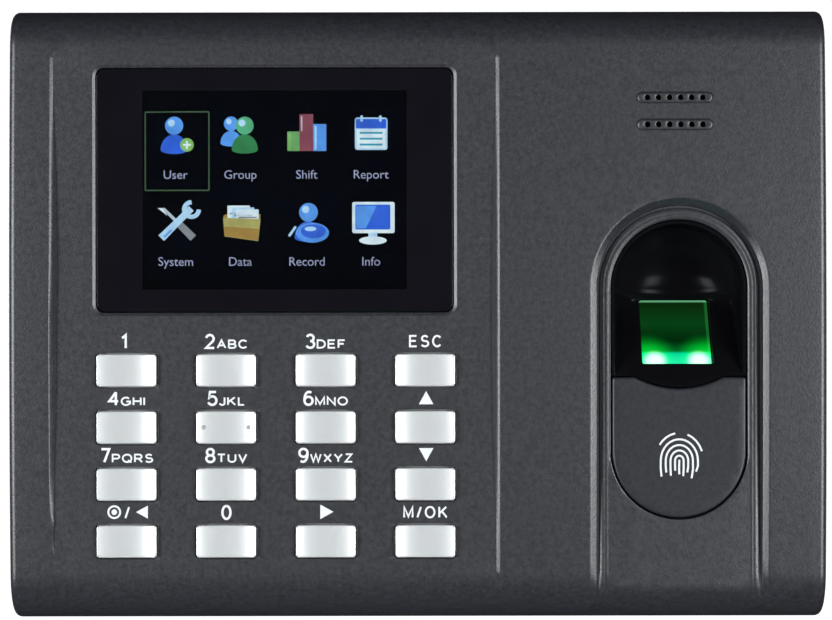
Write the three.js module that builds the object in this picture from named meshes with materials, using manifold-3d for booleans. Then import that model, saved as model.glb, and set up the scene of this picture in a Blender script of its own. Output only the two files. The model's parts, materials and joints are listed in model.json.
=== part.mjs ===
// Wall-mounted fingerprint time-attendance terminal: a colour display and a sixteen-key pad on the left,
// a speaker grille and an optical fingerprint reader in an arched finger channel on the right.
//
// Millimetres. +Z is up, +X is to the right when facing the terminal, and the front looks along -Y.
// The origin is the middle of the wall plate's back face, so the wall is the plane y = 0.

import * as THREE from "three";
import { mergeVertices } from "three/addons/utils/BufferGeometryUtils.js";
import Module from "manifold-3d";

const wasm = await Module();
wasm.setup();

// ---------------------------------------------------------------- driving dimensions

const BODY = { width: 180, height: 135, depth: 37 };
const HALF_W = BODY.width / 2;
const HALF_H = BODY.height / 2;
const WALL = 2.2; // moulded wall thickness
const GAP = 0.3; // clearance between neighbouring pieces

// Planes across the depth, from the front to the wall.
const FACE_Y = -BODY.depth; // crest of the bulged front face
const PANEL_Y = FACE_Y + 1.75; // floor of the display and keypad panel
const CHANNEL_Y = FACE_Y + 2.6; // floor of the finger channel
const COVER_IN_Y = FACE_Y + 3.8; // inside of the front wall
const LEDGE_IN_Y = FACE_Y + 5; // inside of the window's ledge
const BOARD_Y = -27.7; // front of the main board
const BOARD_T = 1.6;
const BOARD_BACK = BOARD_Y + BOARD_T;
const SPLIT_Y = -12; // where the front cover ends
const REAR_IN_Y = -3.9; // inside of the rear wall
const RECESS_Y = -1.9; // floor of the wall plate's recess
const RIM_Y = -0.5; // rearmost rim of the rear cover
const PLATE_T = 1.5;

// Front face: bulged from top to bottom, rolled over at its upper and lower edges.
const FACE_RADIUS = 900;
const FACE_TOP_Z = 59.2;
const FACE_BOTTOM_Z = -57;
const END_ROUND = 1.5;

// Display and keypad panel.
const PANEL = { x: -31.5, halfWidth: 47.4, flare: 2.3 };
const WINDOW = { x: -31.5, z: 27.45, width: 78.3, height: 53.4, radius: 1.8, thick: 1.5 };
const SCREEN = { x: -31.5, z: 27.5, width: 57.6, height: 43.2 }; // a 2.8-inch display's lit area
const SIGHT_MARGIN = { x: 2.2, z: 1.9 }; // opening in the window's ledge, past the lit area
const KEY = { width: 13.1, height: 7.1, radius: 0.8, pitchX: 21.9, pitchZ: 12.55, x: -64.1, z: -12.2 };
const KEY_PROUD = 1.2;
const KEY_DISH_RADIUS = 36;
const KEY_SLACK = 0.35; // gap round each key in its opening
const KEY_FLANGE_OUT = 1.15;
const KEY_STEM_RADIUS = 1.5;
const KEY_NAMES = [
  ["key_1", "key_2", "key_3", "key_esc"],
  ["key_4", "key_5", "key_6", "key_up"],
  ["key_7", "key_8", "key_9", "key_down"],
  ["key_left", "key_0", "key_right", "key_ok"],
];

// Speaker.
const SPEAKER = { x: 56.65, z: 44.7, rowPitch: 5.96, pillWidth: 16.8, pillHeight: 2.6, holes: 6 };
const PILL = { radius: 1.25, proud: 0.5 };
const SPEAKER_HOLE = { pitch: 2.43, radius: 0.62 };

// Finger channel, the stadium-shaped opening in it, and the tilted reader.
const ARCH = { x: 57.6, z: 5.8, faceRadius: 20 };
const OPENING = { radius: 15.15, bottomZ: -30.1 };
const REST = { topZ: -13.9, thick: 2.2 };
const NOTCH = { radius: 20.07, bottomZ: -16.4 }; // round notch in the rest's top edge
const READER = { tilt: 52.07, y: -24.55, z: -3.75, width: 15.8, length: 18.4 };
const TROUGH = { radius: 31, depth: 1.54 };
const FINGERTIP = { radius: 15.2, y: -33.8, z: 5.2 }; // ball-shaped space round the fingertip
const SCOOP_WALL = 1.6;

// Fasteners: four at the corners and three on the board.
const CORNERS = [
  [-80, 57],
  [80, 57],
  [-80, -57],
  [80, -57],
];
const STANDOFFS = [
  [-83, 22],
  [29.5, 55],
  [29.5, -55],
];

// Connector bay in the back and the connectors over it.
const BAY = { x0: -45, x1: 25, z0: -42, z1: -15.8, floorY: -24, wall: 1.6 };
const USB = { x: -58.75, width: 14.4, y0: BOARD_BACK + GAP, y1: -18.6, z0: -64.7, z1: -51 };
const TAMPER = { x: 30, z: 20 };
const RESET = { x: -18.2, y: -21.4 };

// Wall plate.
const PLATE = { halfWidth: 60, z0: -61, z1: 55 };
const HOOKS = [
  [-54, 30],
  [54, 30],
  [-54, -34],
  [54, -34],
];
const HOOK_HALF = 4.5;
const PLATE_SLOT = { x: 35, topZ: 45, bottomZ: -52.5, long: 12, across: 5 };
const LOCK_SCREW = { y: -6, headZ: -66.2, seatZ: -64.4, tipZ: -58.8, hole: 1.8 };

// ---------------------------------------------------------------- shape helpers

// A geometry as a closed manifold solid.
function solid(geometry) {
  const g = geometry.clone();
  const extra = Object.keys(g.attributes).filter((name) => name !== "position");
  extra.forEach((name) => g.deleteAttribute(name));
  const merged = mergeVertices(g, 1e-4);
  return new wasm.Manifold(
    new wasm.Mesh({
      numProp: 3,
      vertProperties: new Float32Array(merged.attributes.position.array),
      triVerts: new Uint32Array(merged.index.array),
    }),
  );
}

// A manifold solid as a geometry with flat faces.
function geometryOf(made) {
  const m = made.getMesh();
  const g = new THREE.BufferGeometry();
  g.setAttribute("position", new THREE.BufferAttribute(new Float32Array(m.vertProperties), 3));
  g.setIndex(new THREE.BufferAttribute(new Uint32Array(m.triVerts), 1));
  const flat = g.toNonIndexed();
  flat.computeVertexNormals();
  return flat;
}

const union = (...solids) => solids.reduce((a, b) => a.add(b));
const cut = (body, ...tools) => tools.reduce((a, b) => a.subtract(b), body);

function box(x0, x1, y0, y1, z0, z1) {
  const g = new THREE.BoxGeometry(x1 - x0, y1 - y0, z1 - z0);
  return solid(g.translate((x0 + x1) / 2, (y0 + y1) / 2, (z0 + z1) / 2));
}

// A shape drawn in the X-Z plane, extruded along Y from y0 to y1.
function prismY(shape, y0, y1, options = {}) {
  const g = new THREE.ExtrudeGeometry(shape, { depth: y1 - y0, bevelEnabled: false, ...options });
  return solid(g.rotateX(Math.PI / 2).translate(0, y1, 0));
}

// A shape drawn in the Y-Z plane, extruded along X from x0 to x1.
function prismX(shape, x0, x1, options = {}) {
  const g = new THREE.ExtrudeGeometry(shape, { depth: x1 - x0, bevelEnabled: false, ...options });
  const axes = new THREE.Matrix4().makeBasis(
    new THREE.Vector3(0, 1, 0),
    new THREE.Vector3(0, 0, 1),
    new THREE.Vector3(1, 0, 0),
  );
  return solid(g.applyMatrix4(axes).translate(x0, 0, 0));
}

// A shape drawn in the X-Y plane, extruded along Z from z0 to z1.
function prismZ(shape, z0, z1) {
  const g = new THREE.ExtrudeGeometry(shape, { depth: z1 - z0, bevelEnabled: false });
  return solid(g.translate(0, 0, z0));
}

// A cylinder along Y; r0 is its radius at y0 and r1 at y1.
function rodY(x, z, y0, y1, r0, r1 = r0, sides = 20) {
  return solid(new THREE.CylinderGeometry(r1, r0, y1 - y0, sides).translate(x, (y0 + y1) / 2, z));
}

function rodZ(x, y, z0, z1, r, sides = 16) {
  const g = new THREE.CylinderGeometry(r, r, z1 - z0, sides);
  return solid(g.rotateX(Math.PI / 2).translate(x, y, (z0 + z1) / 2));
}

// A body of revolution about an axis along Y through (x, z), from [radius, y] points.
function turnedY(x, z, points, sides = 28) {
  const outline = points.map(([r, y]) => new THREE.Vector2(r, y));
  return solid(new THREE.LatheGeometry(outline, sides).translate(x, 0, z));
}

function polygon(points) {
  return new THREE.Shape(points.map(([a, b]) => new THREE.Vector2(a, b)));
}

function roundedRect(x, z, width, height, radius, steps = 4) {
  const [hx, hz] = [width / 2 - radius, height / 2 - radius];
  const points = [];
  for (const [sx, sz, start] of [[1, 1, 0], [-1, 1, 90], [-1, -1, 180], [1, -1, 270]]) {
    for (let i = 0; i <= steps; i++) {
      const a = THREE.MathUtils.degToRad(start + (90 * i) / steps);
      points.push([x + sx * hx + radius * Math.cos(a), z + sz * hz + radius * Math.sin(a)]);
    }
  }
  return polygon(points);
}

// Two half circles joined by straight sides, one end above the other.
function stadium(x, topZ, bottomZ, radius, steps = 20) {
  const points = [];
  for (const [z, start] of [[topZ, 0], [bottomZ, 180]]) {
    for (let i = 0; i <= steps; i++) {
      const a = THREE.MathUtils.degToRad(start + (180 * i) / steps);
      points.push([x + radius * Math.cos(a), z + radius * Math.sin(a)]);
    }
  }
  return polygon(points);
}

const faceY = (z) => FACE_Y + (z * z) / (2 * FACE_RADIUS);

// Evenly spaced heights from z0 to z1.
const stations = (z0, z1, count) =>
  Array.from({ length: count + 1 }, (_, i) => THREE.MathUtils.lerp(z0, z1, i / count));

// The front cover's side outline, moved inwards by inset, closed at rearY.
function sideOutline(inset, rearY) {
  const half = HALF_H - inset;
  const roll = (faceZ, sign, steps) => {
    const slope = Math.abs(faceZ) / FACE_RADIUS;
    const radius = (HALF_H - Math.abs(faceZ)) / (1 - Math.sin(slope));
    const centreY = faceY(faceZ) + radius * Math.cos(slope);
    const centreZ = Math.abs(faceZ) - radius * Math.sin(slope);
    return Array.from({ length: steps + 1 }, (_, i) => {
      const a = slope + ((Math.PI / 2 - slope) * i) / steps;
      const r = radius - inset;
      return [centreY - r * Math.cos(a), sign * (centreZ + r * Math.sin(a))];
    });
  };
  const face = stations(FACE_BOTTOM_Z, FACE_TOP_Z, 10).slice(1, -1);
  return polygon([
    [rearY, -half],
    ...roll(FACE_BOTTOM_Z, -1, 6).reverse(),
    ...face.map((z) => [faceY(z) + inset, z]),
    ...roll(FACE_TOP_Z, 1, 6),
    [rearY, half],
  ]);
}

// A closed surface through rings of equal length. Point i of a ring faces point n-1-i, and the
// strips between those pairs close both ends.
function loft(rings) {
  const n = rings[0].length;
  const position = rings.flat().flat();
  const index = [];
  const quad = (a, b, c, d) => index.push(a, b, c, a, c, d);
  for (let k = 0; k + 1 < rings.length; k++) {
    for (let i = 0; i < n; i++) {
      const j = (i + 1) % n;
      quad(k * n + i, k * n + j, (k + 1) * n + j, (k + 1) * n + i);
    }
  }
  const last = (rings.length - 1) * n;
  for (let i = 0; i + 1 < n / 2; i++) {
    quad(n - 1 - i, n - 2 - i, i + 1, i);
    quad(last + i, last + i + 1, last + n - 2 - i, last + n - 1 - i);
  }
  const g = new THREE.BufferGeometry();
  g.setAttribute("position", new THREE.BufferAttribute(new Float32Array(position), 3));
  g.setIndex(index);
  const made = solid(g);
  return made.volume() > 0 ? made : solid(flipped(g));
}

function flipped(geometry) {
  const g = geometry.clone();
  const a = g.index.array;
  for (let i = 0; i < a.length; i += 3) [a[i], a[i + 1]] = [a[i + 1], a[i]];
  return g;
}

// A tool that sinks a floor at floorY into the bulged face inside an outline, with a rounded upper
// edge that follows the face. steps are [inset, share of the local depth, extra depth].
function recessTool(outlineAt, floorY, steps) {
  const above = outlineAt(0).map(([x, z]) => [x, FACE_Y - 3, z]);
  const sunk = steps.map(([inset, share, extra]) =>
    outlineAt(inset).map(([x, z]) => {
      const top = faceY(z);
      const depth = Math.max(floorY - top, -0.05);
      return [x, top + depth * share + (depth > 0.4 ? extra : 0), z];
    }),
  );
  return loft([above, ...sunk]);
}

function panelOutline(inset) {
  const half = PANEL.halfWidth + PANEL.flare - inset;
  const zs = stations(-66, 66, 14);
  return [...zs.map((z) => [PANEL.x - half, z]), ...zs.toReversed().map((z) => [PANEL.x + half, z])];
}

function archOutline(inset) {
  const r = ARCH.faceRadius - inset;
  const left = stations(-66, ARCH.z, 7).map((z) => [ARCH.x - r, z]);
  const right = left.toReversed().map(([x, z]) => [2 * ARCH.x - x, z]);
  const turn = 16; // even, so that no point stands alone at the crown's pairing
  const crown = Array.from({ length: turn }, (_, i) => {
    const a = Math.PI * (1 - (i + 1) / (turn + 1));
    return [ARCH.x + r * Math.cos(a), ARCH.z + r * Math.sin(a)];
  });
  return [...left, ...crown, ...right];
}

// ---------------------------------------------------------------- the tilted reader's frame

// Local X is the row's X, local Y runs up along the glass, and local Z is its outward normal.
const readerMatrix = new THREE.Matrix4()
  .makeRotationX(THREE.MathUtils.degToRad(READER.tilt))
  .setPosition(ARCH.x, READER.y, READER.z);

const inReader = (geometry) => solid(geometry.applyMatrix4(readerMatrix));

function readerBlock(halfX, y0, y1, z0, z1) {
  const g = new THREE.BoxGeometry(2 * halfX, y1 - y0, z1 - z0);
  return g.translate(0, (y0 + y1) / 2, (z0 + z1) / 2);
}

// The shallow finger trough: a long cylinder that touches the glass plane from the front.
function troughTool(radius, lift) {
  return inReader(new THREE.CylinderGeometry(radius, radius, 90, 96).translate(0, 0, radius + lift));
}

// ---------------------------------------------------------------- materials

const plastic = (color, roughness = 0.55) =>
  new THREE.MeshStandardMaterial({ color, roughness, metalness: 0 });
const metal = (color, roughness = 0.35) =>
  new THREE.MeshStandardMaterial({ color, roughness, metalness: 1 });

const MATERIAL = {
  casing: plastic(0x3b3d40),
  window: plastic(0x0b0b0d, 0.08),
  display: plastic(0x05070a, 0.2),
  key: plastic(0xe8eaec, 0.35),
  rubber: plastic(0x9a9da0, 0.85),
  scoop: plastic(0x0c0c0d, 0.12),
  glass: new THREE.MeshStandardMaterial({ color: 0x18a048, roughness: 0.05, metalness: 0 }),
  board: plastic(0x14512f, 0.5),
  chip: plastic(0x1b1b1d, 0.6),
  blackPart: plastic(0x202022, 0.6),
  relay: plastic(0x2a5bb5, 0.5),
  terminal: plastic(0x3c8f4a, 0.5),
  battery: plastic(0x2c6fb0, 0.4),
  cable: plastic(0xb9b4a8, 0.6),
  cone: plastic(0x2a2724, 0.9),
  steel: metal(0xb4b8bc),
  screw: metal(0x8d9094),
  led: plastic(0xdfffe8, 0.3),
};

const terminal = new THREE.Group();

function add(name, made, material, parent = terminal) {
  const mesh = new THREE.Mesh(geometryOf(made), material);
  mesh.name = name;
  parent.add(mesh);
  return mesh;
}

// ---------------------------------------------------------------- casing

const keyCentres = KEY_NAMES.flatMap((row, r) =>
  row.map((name, c) => ({ name, x: KEY.x + c * KEY.pitchX, z: KEY.z - r * KEY.pitchZ })),
);

const speakerRows = [0.5, -0.5].map((side) => SPEAKER.z + side * SPEAKER.rowPitch);

const windowOutline = (grow) =>
  roundedRect(WINDOW.x, WINDOW.z, WINDOW.width + 2 * grow, WINDOW.height + 2 * grow, WINDOW.radius + grow);

function frontShell() {
  const straight = BODY.width - 2 * END_ROUND;
  const rounded = {
    bevelEnabled: true,
    bevelSize: END_ROUND,
    bevelThickness: END_ROUND,
    bevelOffset: -END_ROUND,
    bevelSegments: 3,
  };
  const past = SPLIT_Y + 6;
  const outside = prismX(sideOutline(0, past), -straight / 2, straight / 2, rounded);
  const cavity = prismX(sideOutline(WALL, past + 1), WALL - HALF_W, HALF_W - WALL);
  const hollow = cavity.intersect(box(-HALF_W, HALF_W, COVER_IN_Y, past + 2, -HALF_H, HALF_H));
  return cut(outside, hollow, box(-100, 100, SPLIT_Y, past + 2, -80, 80));
}

function frontCover() {
  let body = frontShell();

  // Stiffening rim behind the display window, screw bosses, board posts and the reader's sleeve.
  const rimShape = roundedRect(WINDOW.x, WINDOW.z, WINDOW.width + 5.7, WINDOW.height + 3.6, 1, 1);
  const rim = prismY(rimShape, COVER_IN_Y - 0.4, LEDGE_IN_Y);
  const bosses = CORNERS.map(([x, z]) => rodY(x, z, COVER_IN_Y - 0.5, SPLIT_Y - 1, 3.6));
  const posts = STANDOFFS.map(([x, z]) => rodY(x, z, COVER_IN_Y - 0.5, BOARD_Y - GAP, 2.6, 2.6, 14));
  const sleeveShape = stadium(ARCH.x, ARCH.z, OPENING.bottomZ, OPENING.radius + 1.7);
  const sleeve = prismY(sleeveShape, COVER_IN_Y - 0.6, -28);
  body = union(body, rim, ...bosses, ...posts, sleeve);

  // Raised lozenges around the speaker holes.
  for (const z of speakerRows) {
    const pill = roundedRect(SPEAKER.x, z, SPEAKER.pillWidth, SPEAKER.pillHeight, PILL.radius, 5);
    body = body.add(prismY(pill, faceY(z) - PILL.proud, faceY(z) + 1));
  }

  // Sunk display and keypad panel, and the finger channel with the groove at its foot.
  const panelEdge = [
    [0, 0, 0],
    [1.05, 0.13, 0],
    [1.3, 0.3, 0],
    [PANEL.flare, 1, 0],
  ];
  const channelEdge = [
    [0, 0, 0],
    [0.9, 0.06, 0],
    [1.7, 0.2, 0],
    [1.95, 1, 0.5],
    [2.4, 1, 0],
  ];
  const panelTool = recessTool(panelOutline, PANEL_Y, panelEdge);
  body = cut(body, panelTool, recessTool(archOutline, CHANNEL_Y, channelEdge));

  // Window pocket and the opening inside its ledge.
  const pocket = windowOutline(0.25);
  const sightWidth = SCREEN.width + 2 * SIGHT_MARGIN.x;
  const sightHeight = SCREEN.height + 2 * SIGHT_MARGIN.z;
  const sight = roundedRect(WINDOW.x, WINDOW.z, sightWidth, sightHeight, 1, 2);
  const ledgeY = PANEL_Y + WINDOW.thick + 0.4;
  body = cut(body, prismY(pocket, FACE_Y - 1, ledgeY), prismY(sight, FACE_Y, LEDGE_IN_Y + 1));

  // Key openings, speaker holes, the reader's opening and pilot holes.
  for (const k of keyCentres) {
    const width = KEY.width + 2 * KEY_SLACK;
    const height = KEY.height + 2 * KEY_SLACK;
    const hole = roundedRect(k.x, k.z, width, height, KEY.radius + 0.3, 2);
    body = body.subtract(prismY(hole, FACE_Y - 1, LEDGE_IN_Y));
  }
  for (const z of speakerRows) {
    for (let i = 0; i < SPEAKER.holes; i++) {
      const x = SPEAKER.x + (i - (SPEAKER.holes - 1) / 2) * SPEAKER_HOLE.pitch;
      body = body.subtract(rodY(x, z, FACE_Y - 1, COVER_IN_Y + 1, SPEAKER_HOLE.radius, undefined, 10));
    }
  }
  const channelHole = prismY(stadium(ARCH.x, ARCH.z, OPENING.bottomZ, OPENING.radius), FACE_Y - 1, -20);
  const bossHoles = CORNERS.map(([x, z]) => rodY(x, z, -28, SPLIT_Y, 1.8, 1.8, 14));
  const postHoles = STANDOFFS.map(([x, z]) => rodY(x, z, -32.2, -20, 1.3, 1.3, 12));
  body = cut(body, channelHole, ...bossHoles, ...postHoles);

  // Mouth of the memory-stick socket in the lower edge.
  return body.subtract(box(USB.x - 6.6, USB.x + 6.6, USB.y0 + 0.6, USB.y1 - 0.6, -HALF_H - 1, -HALF_H + 3));
}

function rearOutline(halfW, halfH, y) {
  const outline = roundedRect(0, 0, 2 * halfW, 2 * halfH, 2.2);
  return outline.getPoints().map((p) => [p.x, y, p.y]);
}

function rearShell() {
  const rings = [
    rearOutline(HALF_W - 0.3, HALF_H - 0.3, SPLIT_Y + GAP),
    rearOutline(HALF_W - 1, HALF_H - 1, -4.5),
    rearOutline(HALF_W - 1.6, HALF_H - 1.6, -1.6),
    rearOutline(HALF_W - 2.6, HALF_H - 2.6, RIM_Y),
  ];
  const [lipW, lipH] = [HALF_W - WALL - GAP, HALF_H - WALL - GAP];
  const lipWall = 1.4;
  const lip = prismY(roundedRect(0, 0, 2 * lipW, 2 * lipH, 1.5, 2), -14.5, REAR_IN_Y);
  const inside = roundedRect(0, 0, 2 * (lipW - lipWall), 2 * (lipH - lipWall), 1, 2);
  return cut(union(loft(rings), lip), prismY(inside, -20, REAR_IN_Y));
}

function rearCover() {
  let body = rearShell();

  // Bosses for the corner screws, the tamper pin's guide, the bay's walls and the screw tab's pocket.
  const w = BAY.wall;
  const bay = box(BAY.x0 - w, BAY.x1 + w, BAY.floorY - w, REAR_IN_Y, BAY.z0 - w, BAY.z1 + w);
  const tabPocket = box(-9.6, 9.6, -12.2, REAR_IN_Y, -65, -56.9);
  const bosses = CORNERS.map(([x, z]) => rodY(x, z, SPLIT_Y - 0.7, REAR_IN_Y, 4));
  body = union(body, bay, tabPocket, ...bosses, rodY(TAMPER.x, TAMPER.z, -9, REAR_IN_Y, 4, 4, 16));

  // Recess for the wall plate, bay, pocket and hook slots.
  body = cut(
    body,
    box(-PLATE.halfWidth - 1, PLATE.halfWidth + 1, RECESS_Y, 1, PLATE.z0 - 1, PLATE.z1 + 1),
    box(BAY.x0, BAY.x1, BAY.floorY, 1, BAY.z0, BAY.z1),
    box(-8, 8, -10.6, 1, -62, -58.5),
    ...HOOKS.map(([x, z]) => box(x - 5.5, x + 5.5, -6, 1, z - 5.5, z + 1.8)),
  );

  // Screw holes and the tamper pin's hole.
  body = cut(
    body,
    ...CORNERS.map(([x, z]) => rodY(x, z, -20, 1, 1.8, 1.8, 14)),
    ...CORNERS.map(([x, z]) => rodY(x, z, -5, 1, 3.3, 3.3, 18)),
    rodY(TAMPER.x, TAMPER.z, -12, 1, 2.4, 2.4, 16),
    rodZ(0, LOCK_SCREW.y, -75, -60, LOCK_SCREW.hole),
    rodZ(0, LOCK_SCREW.y, -75, LOCK_SCREW.seatZ, 3.2, 18),
  );

  // Mouths of the connectors in the bay's upper wall.
  const [z0, z1] = [BAY.z1 - 1, BAY.z1 + w + 1];
  return cut(
    body,
    box(-36.6, -23.4, -23.6, -13, z0, z1),
    box(-13.8, -5.2, -23.6, -15.2, z0, z1),
    box(1, 23, -23.8, -17.6, z0, z1),
    rodZ(RESET.x, RESET.y, z0, z1, 1.7),
  );
}

function wallPlate() {
  const { halfWidth, z0, z1 } = PLATE;
  const sheet = prismY(roundedRect(0, (z0 + z1) / 2, 2 * halfWidth, z1 - z0, 4), -PLATE_T, 0);
  const tab = box(-7, 7, -10, -0.5, z0, z0 + PLATE_T);
  const hooks = HOOKS.flatMap(([x, z]) => [
    box(x - HOOK_HALF, x + HOOK_HALF, -5.9, -1, z, z + PLATE_T),
    box(x - HOOK_HALF, x + HOOK_HALF, -5.9, -4.4, z, z + 6),
  ]);
  const blanks = HOOKS.map(([x, z]) => box(x - HOOK_HALF, x + HOOK_HALF, -3, 1, z + PLATE_T, z + 7.5));
  const slots = [-PLATE_SLOT.x, PLATE_SLOT.x].flatMap((x) => [
    prismY(roundedRect(x, PLATE_SLOT.topZ, PLATE_SLOT.across, PLATE_SLOT.long, 2.4), -3, 1),
    prismY(roundedRect(x, PLATE_SLOT.bottomZ, PLATE_SLOT.long, PLATE_SLOT.across, 2.4), -3, 1),
  ]);
  const cableWindow = prismY(roundedRect(-10, -29, 74, 30, 2), -3, 1);
  const lockHole = rodZ(0, LOCK_SCREW.y, -70, -50, LOCK_SCREW.hole);
  return cut(union(sheet, tab, ...hooks), ...blanks, ...slots, cableWindow, lockHole);
}

add("front_cover", frontCover(), MATERIAL.casing);
add("rear_cover", rearCover(), MATERIAL.casing);
add("wall_plate", wallPlate(), MATERIAL.steel);

// ---------------------------------------------------------------- display

function lcdFrame() {
  const outer = [SCREEN.x - 34.6, SCREEN.x + 34.6, LEDGE_IN_Y + GAP, -28.9, SCREEN.z - 25, SCREEN.z + 25];
  const pocket = [SCREEN.x - 32.9, SCREEN.x + 32.9, LEDGE_IN_Y, -30.1, SCREEN.z - 23.2, SCREEN.z + 23.2];
  return cut(box(...outer), box(...pocket));
}

// Flat ribbon that leaves the display's side and folds back to the main board.
function lcdFlex() {
  const fold = polygon([
    [3.4, -30.4], [9, -30.4], [10.2, -29.6], [10.2, -28.6], [9.6, -28],
    [6.5, -28], [6.5, -28.3], [9.4, -28.3], [9.9, -28.8], [9.9, -29.4], [8.8, -30.1], [3.4, -30.1],
  ]);
  return prismZ(fold, 15, 37);
}

add("lcd_window", prismY(windowOutline(0), PANEL_Y + 0.1, PANEL_Y + 0.1 + WINDOW.thick), MATERIAL.window);
add(
  "lcd_panel",
  box(SCREEN.x - 32.6, SCREEN.x + 32.6, LEDGE_IN_Y + GAP, -30.4, SCREEN.z - 22.9, SCREEN.z + 22.9),
  MATERIAL.display,
);
add("lcd_frame", lcdFrame(), MATERIAL.steel);
add("lcd_flex", lcdFlex(), MATERIAL.cable);

// ---------------------------------------------------------------- keypad

const KEY_FRONT = PANEL_Y - KEY_PROUD;
const KEY_FLANGE = [COVER_IN_Y + GAP, COVER_IN_Y + GAP + 1.2];
const KEY_STEM_END = -30.8;

// A key about its own centre: a cap dished from side to side, a flange that keeps it in, and a stem.
function keyCap() {
  const cap = prismY(roundedRect(0, 0, KEY.width, KEY.height, KEY.radius, 2), KEY_FRONT, KEY_FLANGE[0] + 0.1);
  const dish = new THREE.CylinderGeometry(KEY_DISH_RADIUS, KEY_DISH_RADIUS, 20, 90);
  const sag = (KEY.width / 2) ** 2 / (2 * KEY_DISH_RADIUS);
  dish.rotateX(Math.PI / 2).translate(0, KEY_FRONT + sag - KEY_DISH_RADIUS, 0);
  const [width, height] = [KEY.width + 2 * KEY_FLANGE_OUT, KEY.height + 2 * KEY_FLANGE_OUT];
  const flange = prismY(roundedRect(0, 0, width, height, 1, 1), ...KEY_FLANGE);
  const stem = rodY(0, 0, KEY_FLANGE[1] - 0.1, KEY_STEM_END, KEY_STEM_RADIUS, KEY_STEM_RADIUS, 8);
  return union(cut(cap, solid(dish)), flange, stem);
}

// Key 5 has a raised dot at each side, so that a finger finds the middle of the pad.
function homeKeyCap() {
  const dots = [-5, 5].map((x) => rodY(x, 0, KEY_FRONT - 0.1, KEY_FRONT + 0.6, 0.4, 0.5, 10));
  return union(keyCap(), ...dots);
}

// One rubber sheet with a dome under each key.
function keypadMat() {
  const backY = BOARD_Y - GAP;
  const sheet = box(-75.5, 12.5, backY - 1, backY, -58, -5);
  const domes = keyCentres.map((k) => rodY(k.x, k.z, KEY_STEM_END + GAP, backY - 0.9, 1.8, 2.8, 10));
  return union(sheet, ...domes);
}

for (const k of keyCentres) {
  const key = add(k.name, k.name === "key_5" ? homeKeyCap() : keyCap(), MATERIAL.key);
  key.position.set(k.x, 0, k.z);
}
add("keypad_mat", keypadMat(), MATERIAL.rubber);

// ---------------------------------------------------------------- main board and what it carries

const ON_BOARD = BOARD_BACK + GAP;

function mainBoard() {
  const sheet = box(-86, 34, BOARD_Y, BOARD_BACK, -60, 60);
  const notches = CORNERS.map(([x, z]) => rodY(x, z, -30, -20, 4.6, 4.6, 20));
  const holes = STANDOFFS.map(([x, z]) => rodY(x, z, -30, -20, 1.6, 1.6, 12));
  return cut(sheet, ...notches, ...holes);
}

// A socket with its mouth facing down and a tongue for the contacts.
function ethernetJack() {
  const shell = box(-38, -22, ON_BOARD, -12.3, BAY.z1 + BAY.wall + GAP, 7.1);
  const mouth = box(-35.9, -24.1, -22.4, -15.4, -16, 0);
  const latch = box(-33.2, -26.8, -15.5, -13.6, -16, -2);
  return cut(shell, mouth, latch);
}

function dcJack() {
  const z0 = BAY.z1 + BAY.wall + GAP;
  const bore = cut(rodZ(-9.5, -19.4, -16, -3, 3.2, 20), rodZ(-9.5, -19.4, -16, -2, 1, 12));
  return cut(box(-14, -5, ON_BOARD, -14.8, z0, 0.1), bore);
}

// Six-way screw terminal: wire mouths face down and clamp screws face the wall.
function terminalBlock() {
  const z0 = BAY.z1 + BAY.wall + GAP;
  let body = box(0, 24, ON_BOARD, -17, z0, -3.9);
  for (let i = 0; i < 6; i++) {
    const x = 2.5 + 3.8 * i;
    body = cut(body, box(x - 1.3, x + 1.3, -23.2, -20.4, -16, -8), rodY(x, -8, -18.6, -15, 1.3, 1.3, 10));
  }
  return body;
}

function usbPort() {
  const shell = box(USB.x - USB.width / 2, USB.x + USB.width / 2, USB.y0, USB.y1, USB.z0, USB.z1);
  const mouth = box(USB.x - 6.25, USB.x + 6.25, USB.y0 + 1.05, USB.y1 - 1.05, USB.z0 - 1, USB.z1 - 2);
  const tongue = box(USB.x - 5.2, USB.x + 5.2, USB.y0 + 1.6, USB.y0 + 3.4, USB.z0 + 1, USB.z1 - 1.5);
  return union(cut(shell, mouth), tongue);
}

function resetSwitch() {
  return cut(box(-21, -15.4, ON_BOARD, -18.6, -11.4, -7), rodZ(RESET.x, RESET.y, -12, -9.4, 1.7));
}

function resetButton() {
  return union(rodZ(RESET.x, RESET.y, -15.2, -10, 1.3), rodZ(RESET.x, RESET.y, -13.3, -12.3, 2.2));
}

function tamperSwitch() {
  const block = box(TAMPER.x - 3.2, TAMPER.x + 3.2, ON_BOARD, -20.3, TAMPER.z - 3.2, TAMPER.z + 3.2);
  return cut(block, rodY(TAMPER.x, TAMPER.z, -24, -18, 2.4, 2.4, 16));
}

function tamperPlunger() {
  const pin = rodY(TAMPER.x, TAMPER.z, -21.6, -PLATE_T - GAP, 2, 2, 16);
  return union(pin, rodY(TAMPER.x, TAMPER.z, -10.4, -9.4, 3.2, 3.2, 16));
}

// Two cells side by side in one heat-shrunk sleeve.
function batteryPack() {
  const [centreY, centreZ, radius, apart] = [-16, 33, 9.3, 9.4];
  const points = [];
  for (const [side, start] of [[1, 0], [-1, 180]]) {
    for (let i = 0; i <= 12; i++) {
      const a = THREE.MathUtils.degToRad(start + 15 * i);
      points.push([centreY + radius * Math.cos(a), centreZ + side * apart + radius * Math.sin(a)]);
    }
  }
  const eased = { bevelEnabled: true, bevelSize: 1, bevelThickness: 1, bevelOffset: -1, bevelSegments: 2 };
  return prismX(polygon(points), -77, -13, eased);
}

function chip(x, z, width, height, thick) {
  return box(x - width / 2, x + width / 2, ON_BOARD, ON_BOARD + thick, z - height / 2, z + height / 2);
}

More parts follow.
